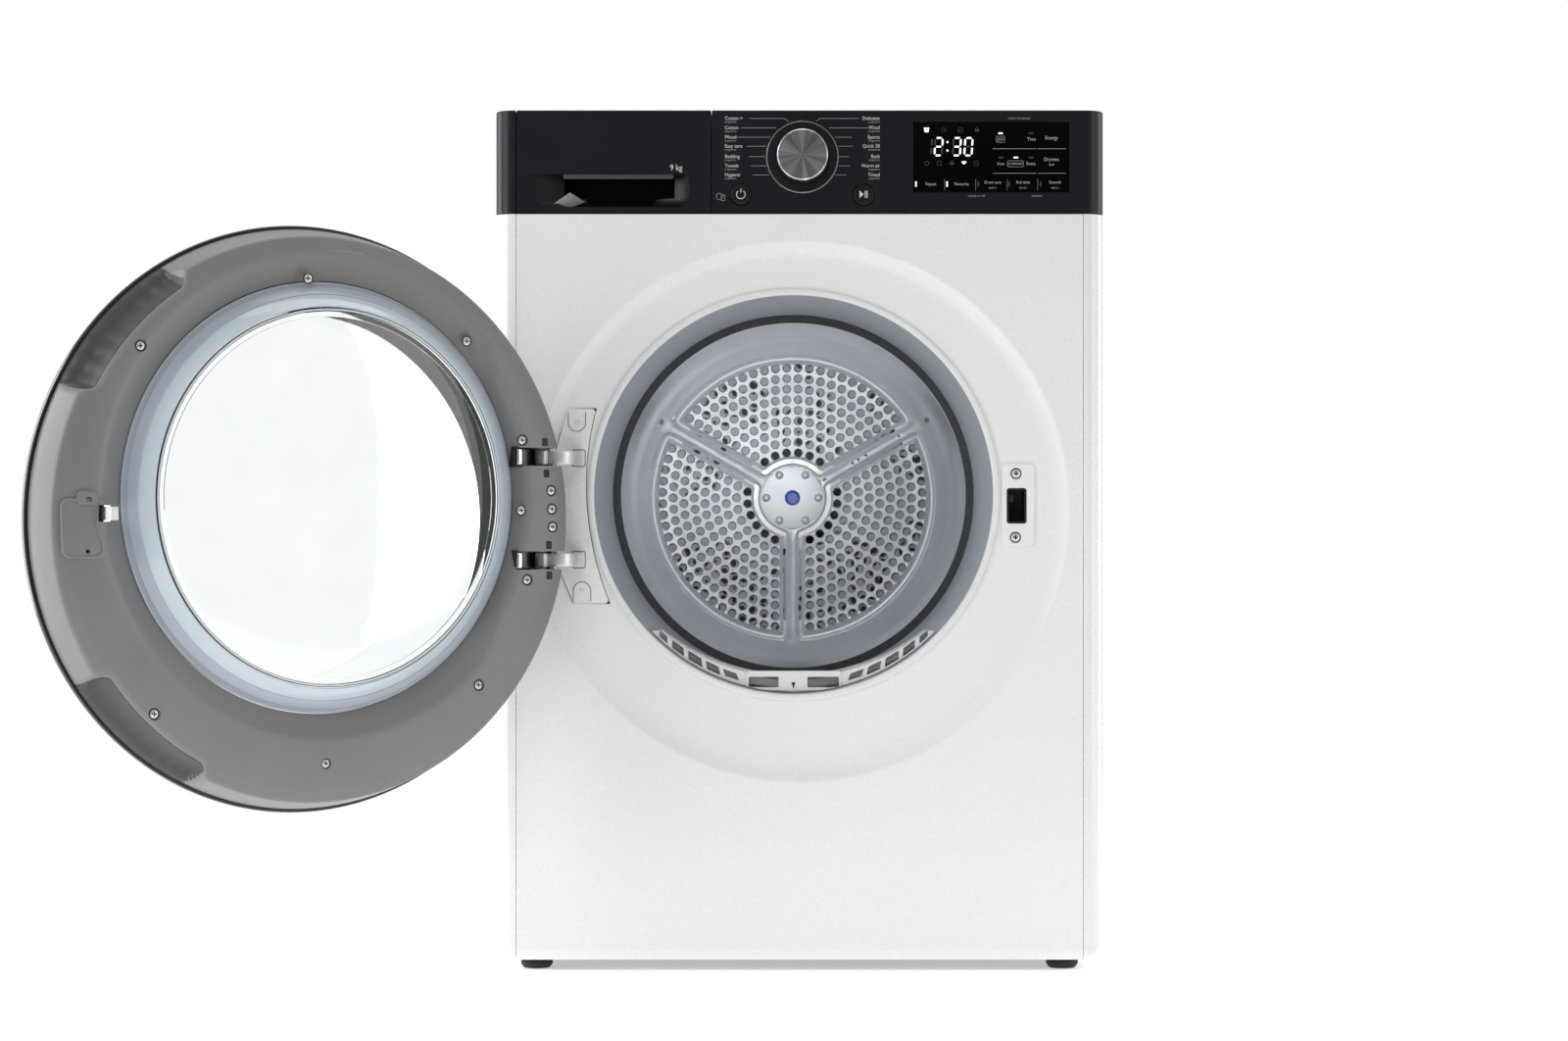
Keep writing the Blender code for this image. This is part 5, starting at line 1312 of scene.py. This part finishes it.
def groove_line():
    """The rounded outline of one sector's groove, centred on straight up."""
    rim = []
    out_a = math.radians(60) - math.asin(GROOVE_OFF / GROOVE_OUT)
    in_a = math.radians(60) - math.asin(GROOVE_OFF / GROOVE_IN)
    for i in range(61):
        a = math.radians(90) + out_a - 2 * out_a * i / 60
        rim.append((GROOVE_OUT * math.cos(a), GROOVE_OUT * math.sin(a)))
    for i in range(21):
        a = math.radians(90) - in_a + 2 * in_a * i / 20
        rim.append((GROOVE_IN * math.cos(a), GROOVE_IN * math.sin(a)))
    return resample(chaikin(rim, 3), 0.0011)


def resample(points, spacing):
    """Points evenly spaced round a closed line."""
    line = [Vector(p) for p in points]
    found, left = [], 0.0
    for a, b in zip(line, line[1:] + line[:1]):
        length = (b - a).length
        while left < length:
            found.append(tuple(a + (b - a) * (left / length)))
            left += spacing
        left -= length
    return found


def chaikin(points, rounds):
    """A closed line with its corners cut off again and again."""
    for _ in range(rounds):
        found = []
        for i, (x, z) in enumerate(points):
            nx, nz = points[(i + 1) % len(points)]
            gap = math.hypot(nx - x, nz - z)
            share = 0.25 if gap < 0.02 else 0.006 / gap
            found.append((x + (nx - x) * share, z + (nz - z) * share))
            found.append((nx - (nx - x) * share, nz - (nz - z) * share))
        points = found
    return points


def smooth_step(t):
    t = min(1.0, max(0.0, t))
    return t * t * (3 - 2 * t)


def build_drum_back():
    holes = sector_holes()
    line = [Vector(p) for p in groove_line()]

    def groove_distance(p):
        best = 1.0
        for a, b in zip(line, line[1:] + line[:1]):
            way = b - a
            t = max(0.0, min(1.0, (p - a).dot(way) / max(way.length_squared, 1e-12)))
            best = min(best, (p - a - way * t).length)
        return best

    def sink(x, z):
        """How far the pressing lies behind the rear face at a point of the sector that is centred straight up."""
        p = Vector((x, z))
        r = p.length
        deep = 0.0
        if r < 0.1640:
            near = groove_distance(p)
            if near < 0.0075:
                deep += 0.0034 * (1 - smooth_step((near - 0.0012) / 0.0036))
                deep -= 0.0007 * math.exp(-((near - 0.0056) / 0.0010) ** 2)
        inside = smooth_step((r - 0.045) / 0.02) * smooth_step((0.150 - r) / 0.02)
        deep += 0.0012 * inside
        if r > 0.1620:
            deep += 0.0022 * smooth_step((r - 0.1630) / 0.0140) + 0.0060 * smooth_step((r - 0.1800) / 0.0200)
        return deep

    points, edges = [], []
    edge_r = 0.1950
    # The boundary of the 120-degree wedge.
    ring = []
    for i in range(49):
        a = math.radians(30 + 120 * i / 48)
        ring.append((edge_r * math.cos(a), edge_r * math.sin(a)))
    side_steps = [edge_r * (1 - i / 78) for i in range(1, 78)]
    left = [(r * math.cos(math.radians(150)), r * math.sin(math.radians(150))) for r in side_steps]
    right = [(r * math.cos(math.radians(30)), r * math.sin(math.radians(30))) for r in reversed(side_steps)]
    boundary = ring + left + [(0.0, 0.0)] + right
    points += [Vector(p) for p in boundary]
    edges += [(i, (i + 1) % len(boundary)) for i in range(len(boundary))]
    for centre in holes:
        for radius in (HOLE_R, HOLE_R + 0.0007):
            first = len(points)
            for k in range(14):
                a = math.tau * k / 14
                points.append(Vector(around(centre, radius, a)))
            edges += [(first + k, first + (k + 1) % 14) for k in range(14)]
    keep_off = HOLE_R + 0.0013
    for offset in (-0.0066, -0.0056, -0.0044, -0.0030, -0.0014, 0.0, 0.0014, 0.0030, 0.0044, 0.0056, 0.0066):
        count = len(line)
        for i in range(0, count, 2):
            way = (line[(i + 2) % count] - line[i - 2]).normalized()
            p = line[i] + Vector((-way.y, way.x)) * offset
            if inside_wedge(p, 0.0008) and all((p - Vector(h)).length > keep_off for h in holes):
                points.append(p)
    for r in [0.004 + 0.004 * i for i in range(10)] + [0.1605, 0.1640, 0.1680, 0.1720, 0.1760, 0.1800, 0.1840,
                                                       0.1880, 0.1920]:
        steps = max(6, round(r * 2.094 / 0.0045))
        for i in range(1, steps):
            a = math.radians(30) + math.radians(120) * i / steps
            points.append(Vector((r * math.cos(a), r * math.sin(a))))
    made = delaunay_2d_cdt(points, edges, [], 0, 1e-7)
    spots, faces = made[0], made[2]
    height = {}
    spoke = bmesh.new()
    for copy in range(3):
        turn = Matrix.Rotation(math.radians(120 * copy), 2)
        verts = []
        for i, p in enumerate(spots):
            if copy == 0:
                near = min((p - Vector(h)).length for h in holes) if 0.04 < p.length < 0.152 else 1.0
                lift = -0.0004 if abs(near - HOLE_R - 0.0007) < 1e-4 else (0.0006 if near < HOLE_R + 1e-4 else 0.0)
                height[i] = sink(p.x, p.y) + lift
            q = turn @ p
            verts.append(spoke.verts.new((AXIS[0] + q.x, depth(REAR_FACE + height[i]), AXIS[1] + q.y)))
        for face in faces:
            middle = sum((spots[i] for i in face), Vector((0, 0))) / len(face)
            if any((middle - Vector(h)).length < HOLE_R * 0.97 for h in holes):
                continue
            spoke.faces.new([verts[i] for i in face])
    bmesh.ops.remove_doubles(spoke, verts=spoke.verts, dist=4e-5)
    bmesh.ops.recalc_face_normals(spoke, faces=spoke.faces)
    if sum(f.normal.y for f in spoke.faces) > 0:
        bmesh.ops.reverse_faces(spoke, faces=spoke.faces)
    # The back of the sheet is the front's copy, so a steep spot never throws a spike.
    made = bmesh.ops.extrude_face_region(spoke, geom=spoke.faces[:], use_keep_orig=True)["geom"]
    bmesh.ops.translate(spoke, verts=[v for v in made if isinstance(v, bmesh.types.BMVert)], vec=(0, 0.0014, 0))
    bmesh.ops.recalc_face_normals(spoke, faces=spoke.faces)
    face = REAR_FACE
    rim = [(edge_r - 0.0006, face + 0.0068), (0.2120, face + 0.0078, 0.010), (0.2500, face + 0.0078, 0.004),
           (0.2755, face + 0.0100), (0.2755, face + 0.0118),
           (0.2494, face + 0.0096, 0.004), (0.2120, face + 0.0096, 0.010), (edge_r - 0.0006, face + 0.0086)]
    return spoke, turned(rim, AXIS, TURN)


def inside_wedge(p, margin):
    r, a = p.length, math.degrees(math.atan2(p.y, p.x))
    off = r * math.sin(math.radians(min(a - 30, 150 - a)))
    return r < 0.1945 and 30 < a < 150 and off > margin


def build_drum():
    wall = 0.0010
    shell = [
        (DRUM_LIP_R, DRUM_FRONT), (DRUM_LIP_R - 0.0008, DRUM_FRONT + 0.0016), (DRUM_LIP_R, DRUM_FRONT + 0.0030),
        (0.2640, 0.1315, 0.006), (DRUM_R - wall, 0.1488, 0.006), (DRUM_R - wall, DRUM_REAR),
        (DRUM_R, DRUM_REAR),
        (DRUM_R, 0.1480, 0.006), (0.2650, 0.1300, 0.006),
    ]
    piece("drum_wall", turned(shell, AXIS, FINE), "drum_steel", "drum", ["drum_shell"], smooth=40)
    pressing, rim = build_drum_back()
    piece("drum_back", pressing, "drum_steel", "drum", ["drum_rear_panel"], smooth=50)
    piece("drum_back_rim", rim, "drum_steel", "drum", smooth=50)
    # The plate behind the perforations carries painted shade in dark dots and patches.
    back = REAR_FACE + 0.0042
    screen = turned([(0.0560, back), (0.1520, back), (0.1520, back + 0.0010), (0.0560, back + 0.0010)], AXIS,
                    TURN)
    piece("drum_back_screen", screen, "drum_steel", "drum", finish=SCREEN_PAINTED_SHADE)
    hub = [(0, REAR_FACE - 0.0018), (0.0200, REAR_FACE - 0.0016, 0.010), (0.0345, REAR_FACE - 0.0006, 0.002),
           (0.0375, REAR_FACE + 0.0008), (0.0375, REAR_FACE + 0.0012),
           (0, REAR_FACE + 0.0012)]
    piece("drum_hub", turned(hub, AXIS, 128), "drum_steel", "drum")
    rivets = []
    for k in range(6):
        a = math.radians(60 * k)
        spot = around(AXIS, 0.0290, a)
        dome = [(0, REAR_FACE - 0.0042), (0.0020, REAR_FACE - 0.0039), (0.0036, REAR_FACE - 0.0029),
                (0.0045, REAR_FACE - 0.0012),
                (0.0047, REAR_FACE - 0.0008), (0, REAR_FACE - 0.0008)]
        rivets.append(turned(dome, spot, 32))
    piece("drum_rivets", join(*rivets), "drum_steel", "drum")
    cap = [(0, REAR_FACE - 0.0040), (0.0060, REAR_FACE - 0.0040, 0.0006), (0.0078, REAR_FACE - 0.0050, 0.0008),
           (0.0086, REAR_FACE - 0.0030, 0.0008), (0.0086, REAR_FACE - 0.0010), (0, REAR_FACE - 0.0010)]
    cap = turned(cap, AXIS, MEDIUM)
    socket = [around(AXIS, 0.0040, math.radians(60 * k)) for k in range(6)]
    cap = combine(cap, prism(socket, REAR_FACE - 0.0100, REAR_FACE - 0.0022))
    piece("shaft_cap", cap, "black_plastic", "drum", finish=BLUE_CAP, smooth=40)
    for number, angle in enumerate(LIFTER_ANGLES, 1):
        out = Vector((math.cos(math.radians(angle)), math.sin(math.radians(angle))))
        across = Vector((-out.y, out.x))
        section = [(-0.045, 0.2690), (-0.014, 0.2100), (0.014, 0.2100), (0.045, 0.2690), (0.030, 0.2720),
                   (0.0, 0.2738),
                   (-0.030, 0.2720)]
        section = corners(section, [0.002, 0.012, 0.012, 0.002, 0, 0, 0], 8)
        outline = [tuple(Vector(AXIS) + across * t + out * r) for t, r in section]
        piece(f"lifter_{number}", prism(outline, 0.170, 0.470, ease=0.0035, segments=5), "tank_plastic", "drum",
              [f"drum_lifter_{number}"], smooth=40)


# ---------------------------------------------------------------- door

# The two grips in the door's side, as (low, high) angles in degrees.
POCKETS = ((27.0, 58.0), (-63.0, -33.5))
RISE = 0.0022
GLASS_LIP, GLASS_LIP_HINGE = 0.2245, 0.2135
DOOR_SCREWS = [(0.1807, 0.5919), (-0.1530, 0.6047), (-0.2133, 0.5110), (-0.2121, 0.4434), (-0.2186, 0.3764),
               (-0.1657, 0.2762), (0.1674, 0.2580), (-0.2452, 0.4625), (-0.2460, 0.4447), (-0.2468, 0.4274)]
DEEP_WELLS = [(0.0137, 0.6587, 0.0052), (-0.0044, 0.2070, 0.0050), (0.2321, 0.4059, 0.0017)]
LOCATING_HOLES = [(-0.2381, 0.5094), (-0.2397, 0.4791), (-0.2424, 0.4099), (-0.2430, 0.3805)]
LINER_SCREW_FACE = RISE - 0.0017


def door_spot(angle, r, h, blend):
    cx, cz = (DOOR[0] + (GLASS[0] - DOOR[0]) * blend, DOOR[1] + (GLASS[1] - DOOR[1]) * blend)
    return (cx + r * math.cos(angle), depth(DOOR_RIM + h), cz + r * math.sin(angle))


PLAIN_SIDE = [
    (0.2724, 0.0040), (0.2721, 0.0080), (0.2713, 0.0126), (0.2700, 0.0188), (0.2681, 0.0262), (0.2664, 0.0328),
    (0.2652, 0.0374), (0.2643, 0.0404), (0.2634, 0.0412), (0.2618, 0.0422), (0.2592, 0.0430), (0.2550, 0.0442),
    (0.2520, 0.0454),
]
GRIP_SIDE = [
    (0.2724, 0.0040), (0.2718, 0.0066), (0.2704, 0.0090), (0.2680, 0.0124), (0.2640, 0.0150), (0.2604, 0.0190),
    (0.2572, 0.0250), (0.2548, 0.0330), (0.2530, 0.0410), (0.2520, 0.0428), (0.2506, 0.0440), (0.2490, 0.0450),
    (0.2474, 0.0458),
]


def grip_share(degrees):
    """How far the door's side is hollowed into a grip at this angle: 0 none, 1 fully."""
    return max(smooth_step((degrees - low + 1.6) / 3.0) * smooth_step((high + 1.6 - degrees) / 3.0) for low,
               high in POCKETS)


def door_side(share):
    return [(r0 + (r1 - r0) * share, h0 + (h1 - h0) * share) for (r0, h0),
            (r1, h1) in zip(PLAIN_SIDE, GRIP_SIDE)]


def build_liner():
    count = 480
    rows = [[] for _ in range(len(PLAIN_SIDE) + 12)]
    for i in range(count):
        a = math.tau * i / count
        degrees = (math.degrees(a) + 180) % 360 - 180
        column = [(r, h, 0.0) for r, h in door_side(grip_share(degrees))]
        # Beside the hinge the glass sits closer to its lip, so there is room for the leaves' screws.
        hinge_share = smooth_step((abs(degrees) - 134) / 16)
        lip = GLASS_LIP + (GLASS_LIP_HINGE - GLASS_LIP) * hinge_share
        foot = 0.2024
        column += [(lip + 0.0060, 0.0462, 1.0), (lip + 0.0036, 0.0461, 1.0), (lip + 0.0014, 0.0457, 1.0),
                   (lip - 0.0006, 0.0449, 1.0),
                   (lip - 0.0024, 0.0437, 1.0)]
        for t in (0.25, 0.5, 0.75, 0.93):
            column.append((lip - 0.0024 + (foot - lip + 0.0024) * t, 0.0437 - 0.0107 * t, 1.0))
        column += [(foot, 0.0330, 1.0), (foot - 0.0002, 0.0315, 1.0), (foot - 0.0002, 0.0302, 1.0)]
        for row, (r, h, blend) in zip(rows, column):
            row.append(door_spot(a, r, h, blend))
    bm = bmesh.new()
    loops = [[bm.verts.new(p) for p in row] for row in rows]
    for first, second in zip(loops, loops[1:]):
        bridge(bm, first, second)
    bmesh.ops.recalc_face_normals(bm, faces=bm.faces)
    face = max(bm.faces, key=lambda f: f.calc_center_median().y)
    if face.normal.y < 0:
        bmesh.ops.reverse_faces(bm, faces=bm.faces)
    bmesh.ops.solidify(bm, geom=bm.faces[:], thickness=0.0020)

    cuts = []
    for z in HINGE_Z:
        cuts.append(rounded(box((-0.2250, -0.030, z - 0.0088), (-0.2066, 0.02, z + 0.0088)), 0.0015, 3))
        cuts.append(box((-0.3, DOOR_RIM + 0.0045, z - 0.0088), (-0.2248, 0.02, z + 0.0088)))
    x = HOOK_PIVOT[0]
    cuts.append(rounded(box((x - 0.0065, -0.02, HOOK_Z[0] - 0.0015), (x + 0.0095, 0.02, HOOK_Z[1] + 0.0015)),
                        0.0010, 3))
    bm = combine(bm, join(cuts[0], cuts[2], cuts[4]))
    bm = combine(bm, join(cuts[1], cuts[3]))
    wells = []
    for x, z, r in DEEP_WELLS:
        wells.append(cylinder((x, z), r, RISE - 0.0100, RISE + 0.01, 48))
    for x, z in DOOR_SCREWS:
        wells.append(turned([(0, RISE - 0.0018), (0.0055, RISE - 0.0018), (0.0062, RISE + 0.0002),
                             (0.0062, 0.01), (0, 0.01)], (x, z), 48))
    for x, z in LOCATING_HOLES:
        hole = corners(rectangle(x - 0.0033, x + 0.0033, z - 0.0039, z + 0.0039), 0.0013, 4)
        wells.append(prism(hole, RISE - 0.0120, RISE + 0.01))
    bm = combine(bm, join(*wells))
    # Painted shade: each grip's hollow is lined with a dark skin, much darker than the liner, for the shade inside it.
    linings = []
    for low, high in POCKETS:
        lining, loops = bmesh.new(), []
        steps = round((high - low + 3.0) / 0.35)
        for i in range(steps + 1):
            degrees = low - 1.5 + (high - low + 3.0) * i / steps
            share = grip_share(degrees)
            proud = 0.0004 * (2 * share - 1)
            flute = 0.0010 * (0.5 - 0.5 * math.cos((degrees - low) / (high - low) * math.tau * 8)) * share**4
            shape = door_side(share)[:9]
            fade = (0.0, 0.3, 0.6, 0.9, 1.0, 1.0, 0.9, 0.6, 0.1)
            loops.append([lining.verts.new(door_spot(math.radians(degrees), r + proud + flute * f,
                                                     h + proud * 0.6, 0.0))
                          for (r, h), f in zip(shape, fade)])
        for first, second in zip(loops, loops[1:]):
            bridge(lining, first, second, False)
        bmesh.ops.recalc_face_normals(lining, faces=lining.faces)
        largest = max(lining.faces, key=lambda f: f.calc_area())
        outward = Vector(door_spot(math.radians((low + high) / 2), 1, 0.0, 0)) - Vector(door_spot(0, 0, 0.0, 0))
        if largest.normal.dot(outward) < 0:
            bmesh.ops.reverse_faces(lining, faces=lining.faces)
        bmesh.ops.solidify(lining, geom=lining.faces[:], thickness=0.0004)
        linings.append(lining)
    piece("grip_linings", join(*linings), "grey_liner", "door", finish=POCKET_PAINTED_SHADE, swing=True, smooth=50)
    piece("liner", bm, "grey_liner", "door", ["door_liner"], swing=True, smooth=32)
    # Painted shade: black linings on the hinge slots' walls and black bottoms in the locating holes, for the shade
    # inside them.
    slot_shade = []
    for z in HINGE_Z:
        outer, inner, back, front = -0.2246, -0.2056, -0.0345, RISE - 0.0030
        slot_shade += [
            box((outer, back, z - 0.0098), (inner, front, z - 0.0089)),
            box((outer, back, z + 0.0089), (inner, front, z + 0.0098)),
            box((inner - 0.0010, back, z - 0.0098), (inner, front, z + 0.0098)),
            box((outer, back - 0.0010, z - 0.0098), (inner, back, z + 0.0098)),
        ]
    for x, z in LOCATING_HOLES:
        hole = corners(rectangle(x - 0.0029, x + 0.0029, z - 0.0035, z + 0.0035), 0.0012, 4)
        slot_shade.append(prism(hole, RISE - 0.0040, RISE - 0.0008))
    piece("hinge_well_shade", join(*slot_shade), "rubber", "door", swing=True)
    spots = DOOR_SCREWS + [well[:2] for well in DEEP_WELLS[:2]]
    piece("liner_screws", screw_heads(spots, 0.0043, LINER_SCREW_FACE, 1), "chrome", "door", finish=SATIN,
          swing=True)
    piece("liner_screw_shadows", screw_shadows(spots, 0.0043, LINER_SCREW_FACE, 1), "rubber", "door",
          swing=True)


def build_door():
    ring = [
        (0.2754, 0.0044, 0.0008), (0.2762, 0.0010), (0.2756, -0.0030, 0.003), (0.2700, -0.0085, 0.006),
        (0.2400, -0.0115, 0.010),
        (0.1952, -0.0110, 0.0004), (0.1952, -0.0070), (0.2400, -0.0080), (0.2680, -0.0055), (0.2716, -0.0020),
        (0.2716, 0.0044),
    ]
    piece("door_ring", door_turned(ring, DOOR, FINE), "black_panel", "door", ["door_outer_ring"],
          finish=RING_BLACK, swing=True)
    pane = [(0, -0.0150), (0.0500, -0.0147), (0.1000, -0.0137), (0.1500, -0.0124), (0.1946, -0.0108, 0.0004),
            (0.1946, -0.0074),
            (0.1000, -0.0100), (0, -0.0113)]
    piece("door_pane", door_turned(pane, DOOR, FINE), "door_glass", "door", ["door_window"], finish=PANE_GLASS,
          swing=True, smooth=50)
    build_liner()

    plateau = corners([(0.2150, 0.3992), (0.2555, 0.3992), (0.2575, 0.4537), (0.2150, 0.4537)], 0.0060, 8)
    plateau = prism(plateau, RISE - 0.0012, RISE + 0.0009, ease=0.0008)
    x = HOOK_PIVOT[0]
    plateau = combine(plateau,
                      box((x - 0.0065, -0.02, HOOK_Z[0] - 0.0015), (x + 0.0095, 0.02, HOOK_Z[1] + 0.0015)))
    plateau = combine(plateau, box((0.2303, -0.05, 0.4041), (0.2339, 0.05, 0.4077)))
    boss = prism(corners([(0.2240, 0.4475), (0.2439, 0.4475), (0.2420, 0.4610), (0.2225, 0.4590)], 0.0040, 8),
                 RISE - 0.0012, RISE + 0.0024, ease=0.0010)
    boss = combine(boss, rounded(box((0.2290, -0.05, 0.4505), (0.2345, 0.05, 0.4545)), 0.0010, 3))
    ridge = corners([(0.2165, 0.4010), (0.2560, 0.4010), (0.2575, 0.4525), (0.2300, 0.4525)], 0.0070, 8)
    ridge = tube([(x, depth(RISE + 0.0006), z) for x, z in ridge], 0.0011, 10, True)
    piece("latch_pad", join(plateau, boss, ridge), "grey_liner", "door", swing=True, smooth=32)

    frame_ring = [
        (0.2016, 0.0300), (0.2016, 0.0340, 0.0005), (0.2000, 0.0352, 0.0008), (0.1980, 0.0380, 0.0004),
        (0.1974, 0.0394, 0.0004),
        (0.1902, 0.0462, 0.0006), (0.1894, 0.0460, 0.0003), (0.1894, 0.0436), (0.1980, 0.0330),
        (0.1980, 0.0300),
    ]
    # Painted light: the glass's sloping side and its bead are drawn opaque in a pale blue-grey, for the light seen
    # through and off the glass there.
    flank = [(0.1893, 0.0430), (0.1893, 0.0458, 0.0003), (0.1840, 0.0515, 0.002), (0.1796, 0.0556, 0.0010),
             (0.1782, 0.0568, 0.0006),
             (0.1772, 0.0562, 0.0003), (0.1772, 0.0535)]
    piece("glass_flank_painted_light", door_turned(flank, GLASS, FINE), "door_glass", "door", finish=GLASS_FLANK_PAINTED_LIGHT, swing=True,
          smooth=28)
    bead = [(0.1757, 0.0560), (0.1757, 0.0576, 0.0003), (0.1739, 0.0578, 0.0003), (0.1739, 0.0560)]
    piece("glass_bead", door_turned(bead, GLASS, FINE), "door_glass", "door", finish=GLASS_FLANK_PAINTED_LIGHT, swing=True)
    piece("glass_frame", door_turned(frame_ring, GLASS, FINE), "pale_ring", "door", ["glass_retaining_ring"],
          swing=True, smooth=28)
    gasket = [(0.1735, 0.0545), (0.1764, 0.0545), (0.1764, 0.0570, 0.0003), (0.1748, 0.0574, 0.0006),
              (0.1735, 0.0572, 0.0003)]
    piece("gasket", door_turned(gasket, GLASS, FINE), "rubber", "door", ["glass_gasket"], swing=True)
    outer = [(0.1730, 0.0575), (0.1600, 0.0599), (0.1400, 0.0618), (0.1100, 0.0636), (0.0700, 0.0651),
             (0.0300, 0.0659), (0, 0.0660)]
    inner = [(0, 0.0620), (0.0300, 0.0619), (0.0700, 0.0612), (0.1100, 0.0597), (0.1400, 0.0578),
             (0.1600, 0.0556), (0.1680, 0.0540),
             (0.1680, 0.0520)]
    bowl = [(0.1730, 0.0520), *outer, *inner]
    piece("bowl", door_turned(bowl, GLASS, FINE), "door_glass", "door", ["glass_bowl"], swing=True, smooth=60)


def paint_cad():
    with_slots = {part["node"]: part["material_slot"] for part in SUBPARTS}
    for name, slot in with_slots.items():
        made = bpy.data.objects.get(name)
        if made is None:
            continue
        for place in made.material_slots:
            place.material = MATERIALS[slot]


def build_stage():
    scene = bpy.context.scene
    scene.view_settings.view_transform = "Standard"

    world = bpy.data.worlds.new("studio")
    world.use_nodes = True
    scene.world = world
    tree = world.node_tree
    back, out = tree.nodes["Background"], tree.nodes["World Output"]
    nodes = tree.nodes.new
    path, mix, white = nodes("ShaderNodeLightPath"), nodes("ShaderNodeMixShader"), nodes("ShaderNodeBackground")
    white.inputs["Color"].default_value, white.inputs["Strength"].default_value = (1, 1, 1, 1), 1.0
    where, parts = nodes("ShaderNodeTexCoord"), nodes("ShaderNodeSeparateXYZ")
    ramp = nodes("ShaderNodeValToRGB")
    span = nodes("ShaderNodeMapRange")
    link = tree.links.new
    link(where.outputs["Generated"], parts.inputs[0])
    link(parts.outputs["Y"], span.inputs["Value"])
    for key, value in (("From Min", -1.0), ("From Max", 1.0), ("To Min", 0.0), ("To Max", 1.0)):
        span.inputs[key].default_value = value
    link(span.outputs[0], ramp.inputs[0])
    stops = ramp.color_ramp.elements
    stops[0].position, stops[0].color = 0.0, (0.15, 0.15, 0.15, 1)
    stops[1].position, stops[1].color = 0.10, (0.26, 0.26, 0.265, 1)
    for place, shade in ((0.30, 0.38), (0.55, 0.40), (0.72, 0.70), (1.0, 0.72)):
        stop = stops.new(place)
        stop.color = (shade, shade, shade, 1)
    link(ramp.outputs[0], back.inputs["Color"])
    back.inputs["Strength"].default_value = 1.0
    seen = nodes("ShaderNodeMath")
    seen.operation, seen.use_clamp = "ADD", True
    link(path.outputs["Is Camera Ray"], seen.inputs[0])
    link(path.outputs["Is Transmission Ray"], seen.inputs[1])
    link(seen.outputs[0], mix.inputs[0])
    link(back.outputs[0], mix.inputs[1])
    link(white.outputs[0], mix.inputs[2])
    link(mix.outputs[0], out.inputs["Surface"])

    def softbox(name, where, towards, size, power):
        data = bpy.data.lights.new(name, "AREA")
        data.shape, data.size, data.size_y, data.energy = "RECTANGLE", *size, power
        made = bpy.data.objects.new(name, data)
        scene.collection.objects.link(made)
        made.location = where
        made.rotation_euler = (Vector(towards) - Vector(where)).to_track_quat("-Z", "Y").to_euler()
        made.visible_camera = False
        return made

    middle = (0.0, 0.0, 0.45)
    softbox("left_softbox", (-2.6, -1.5, 0.9), middle, (0.9, 2.6), 34.0)
    softbox("left_kicker", (-2.8, 0.5, 0.7), middle, (0.8, 2.6), 42.0)
    softbox("right_kicker", (2.8, 0.5, 0.7), middle, (0.6, 2.6), 24.0)
    softbox("right_softbox", (2.6, -1.6, 0.9), middle, (0.9, 2.6), 15.0)
    softbox("front_fill", (-1.0, -3.4, 2.6), middle, (2.4, 1.6), 32.0).visible_glossy = False
    softbox("top_softbox", (0.0, 0.2, 2.9), middle, (2.4, 2.0), 24.0)
    softbox("drum_light", (AXIS[0] - 0.04, depth(0.18), AXIS[1] + 0.06), (AXIS[0], depth(0.5), AXIS[1]),
            (0.20, 0.16), 0.44)

    camera = bpy.data.objects.new("camera", bpy.data.cameras.new("camera"))
    camera.data.lens, camera.data.sensor_width = 85.0, 36.0
    camera.location, camera.rotation_euler = (-0.0154, -3.964, 0.4336), (math.radians(90), 0, 0)
    scene.collection.objects.link(camera)
    scene.camera = camera

    bm = bmesh.new()
    bmesh.ops.create_circle(bm, cap_ends=True, radius=1.8, segments=128)
    bmesh.ops.translate(bm, verts=bm.verts, vec=(0, 0, FLOOR_Z))
    floor = to_object("floor", bm, FLOOR_PAINT)


paint_cad()
build_shell()
build_front()
build_feet()
build_band()
build_drawer()
build_opening()
build_hinge()
build_latch()
build_drum()
build_door()
build_stage()
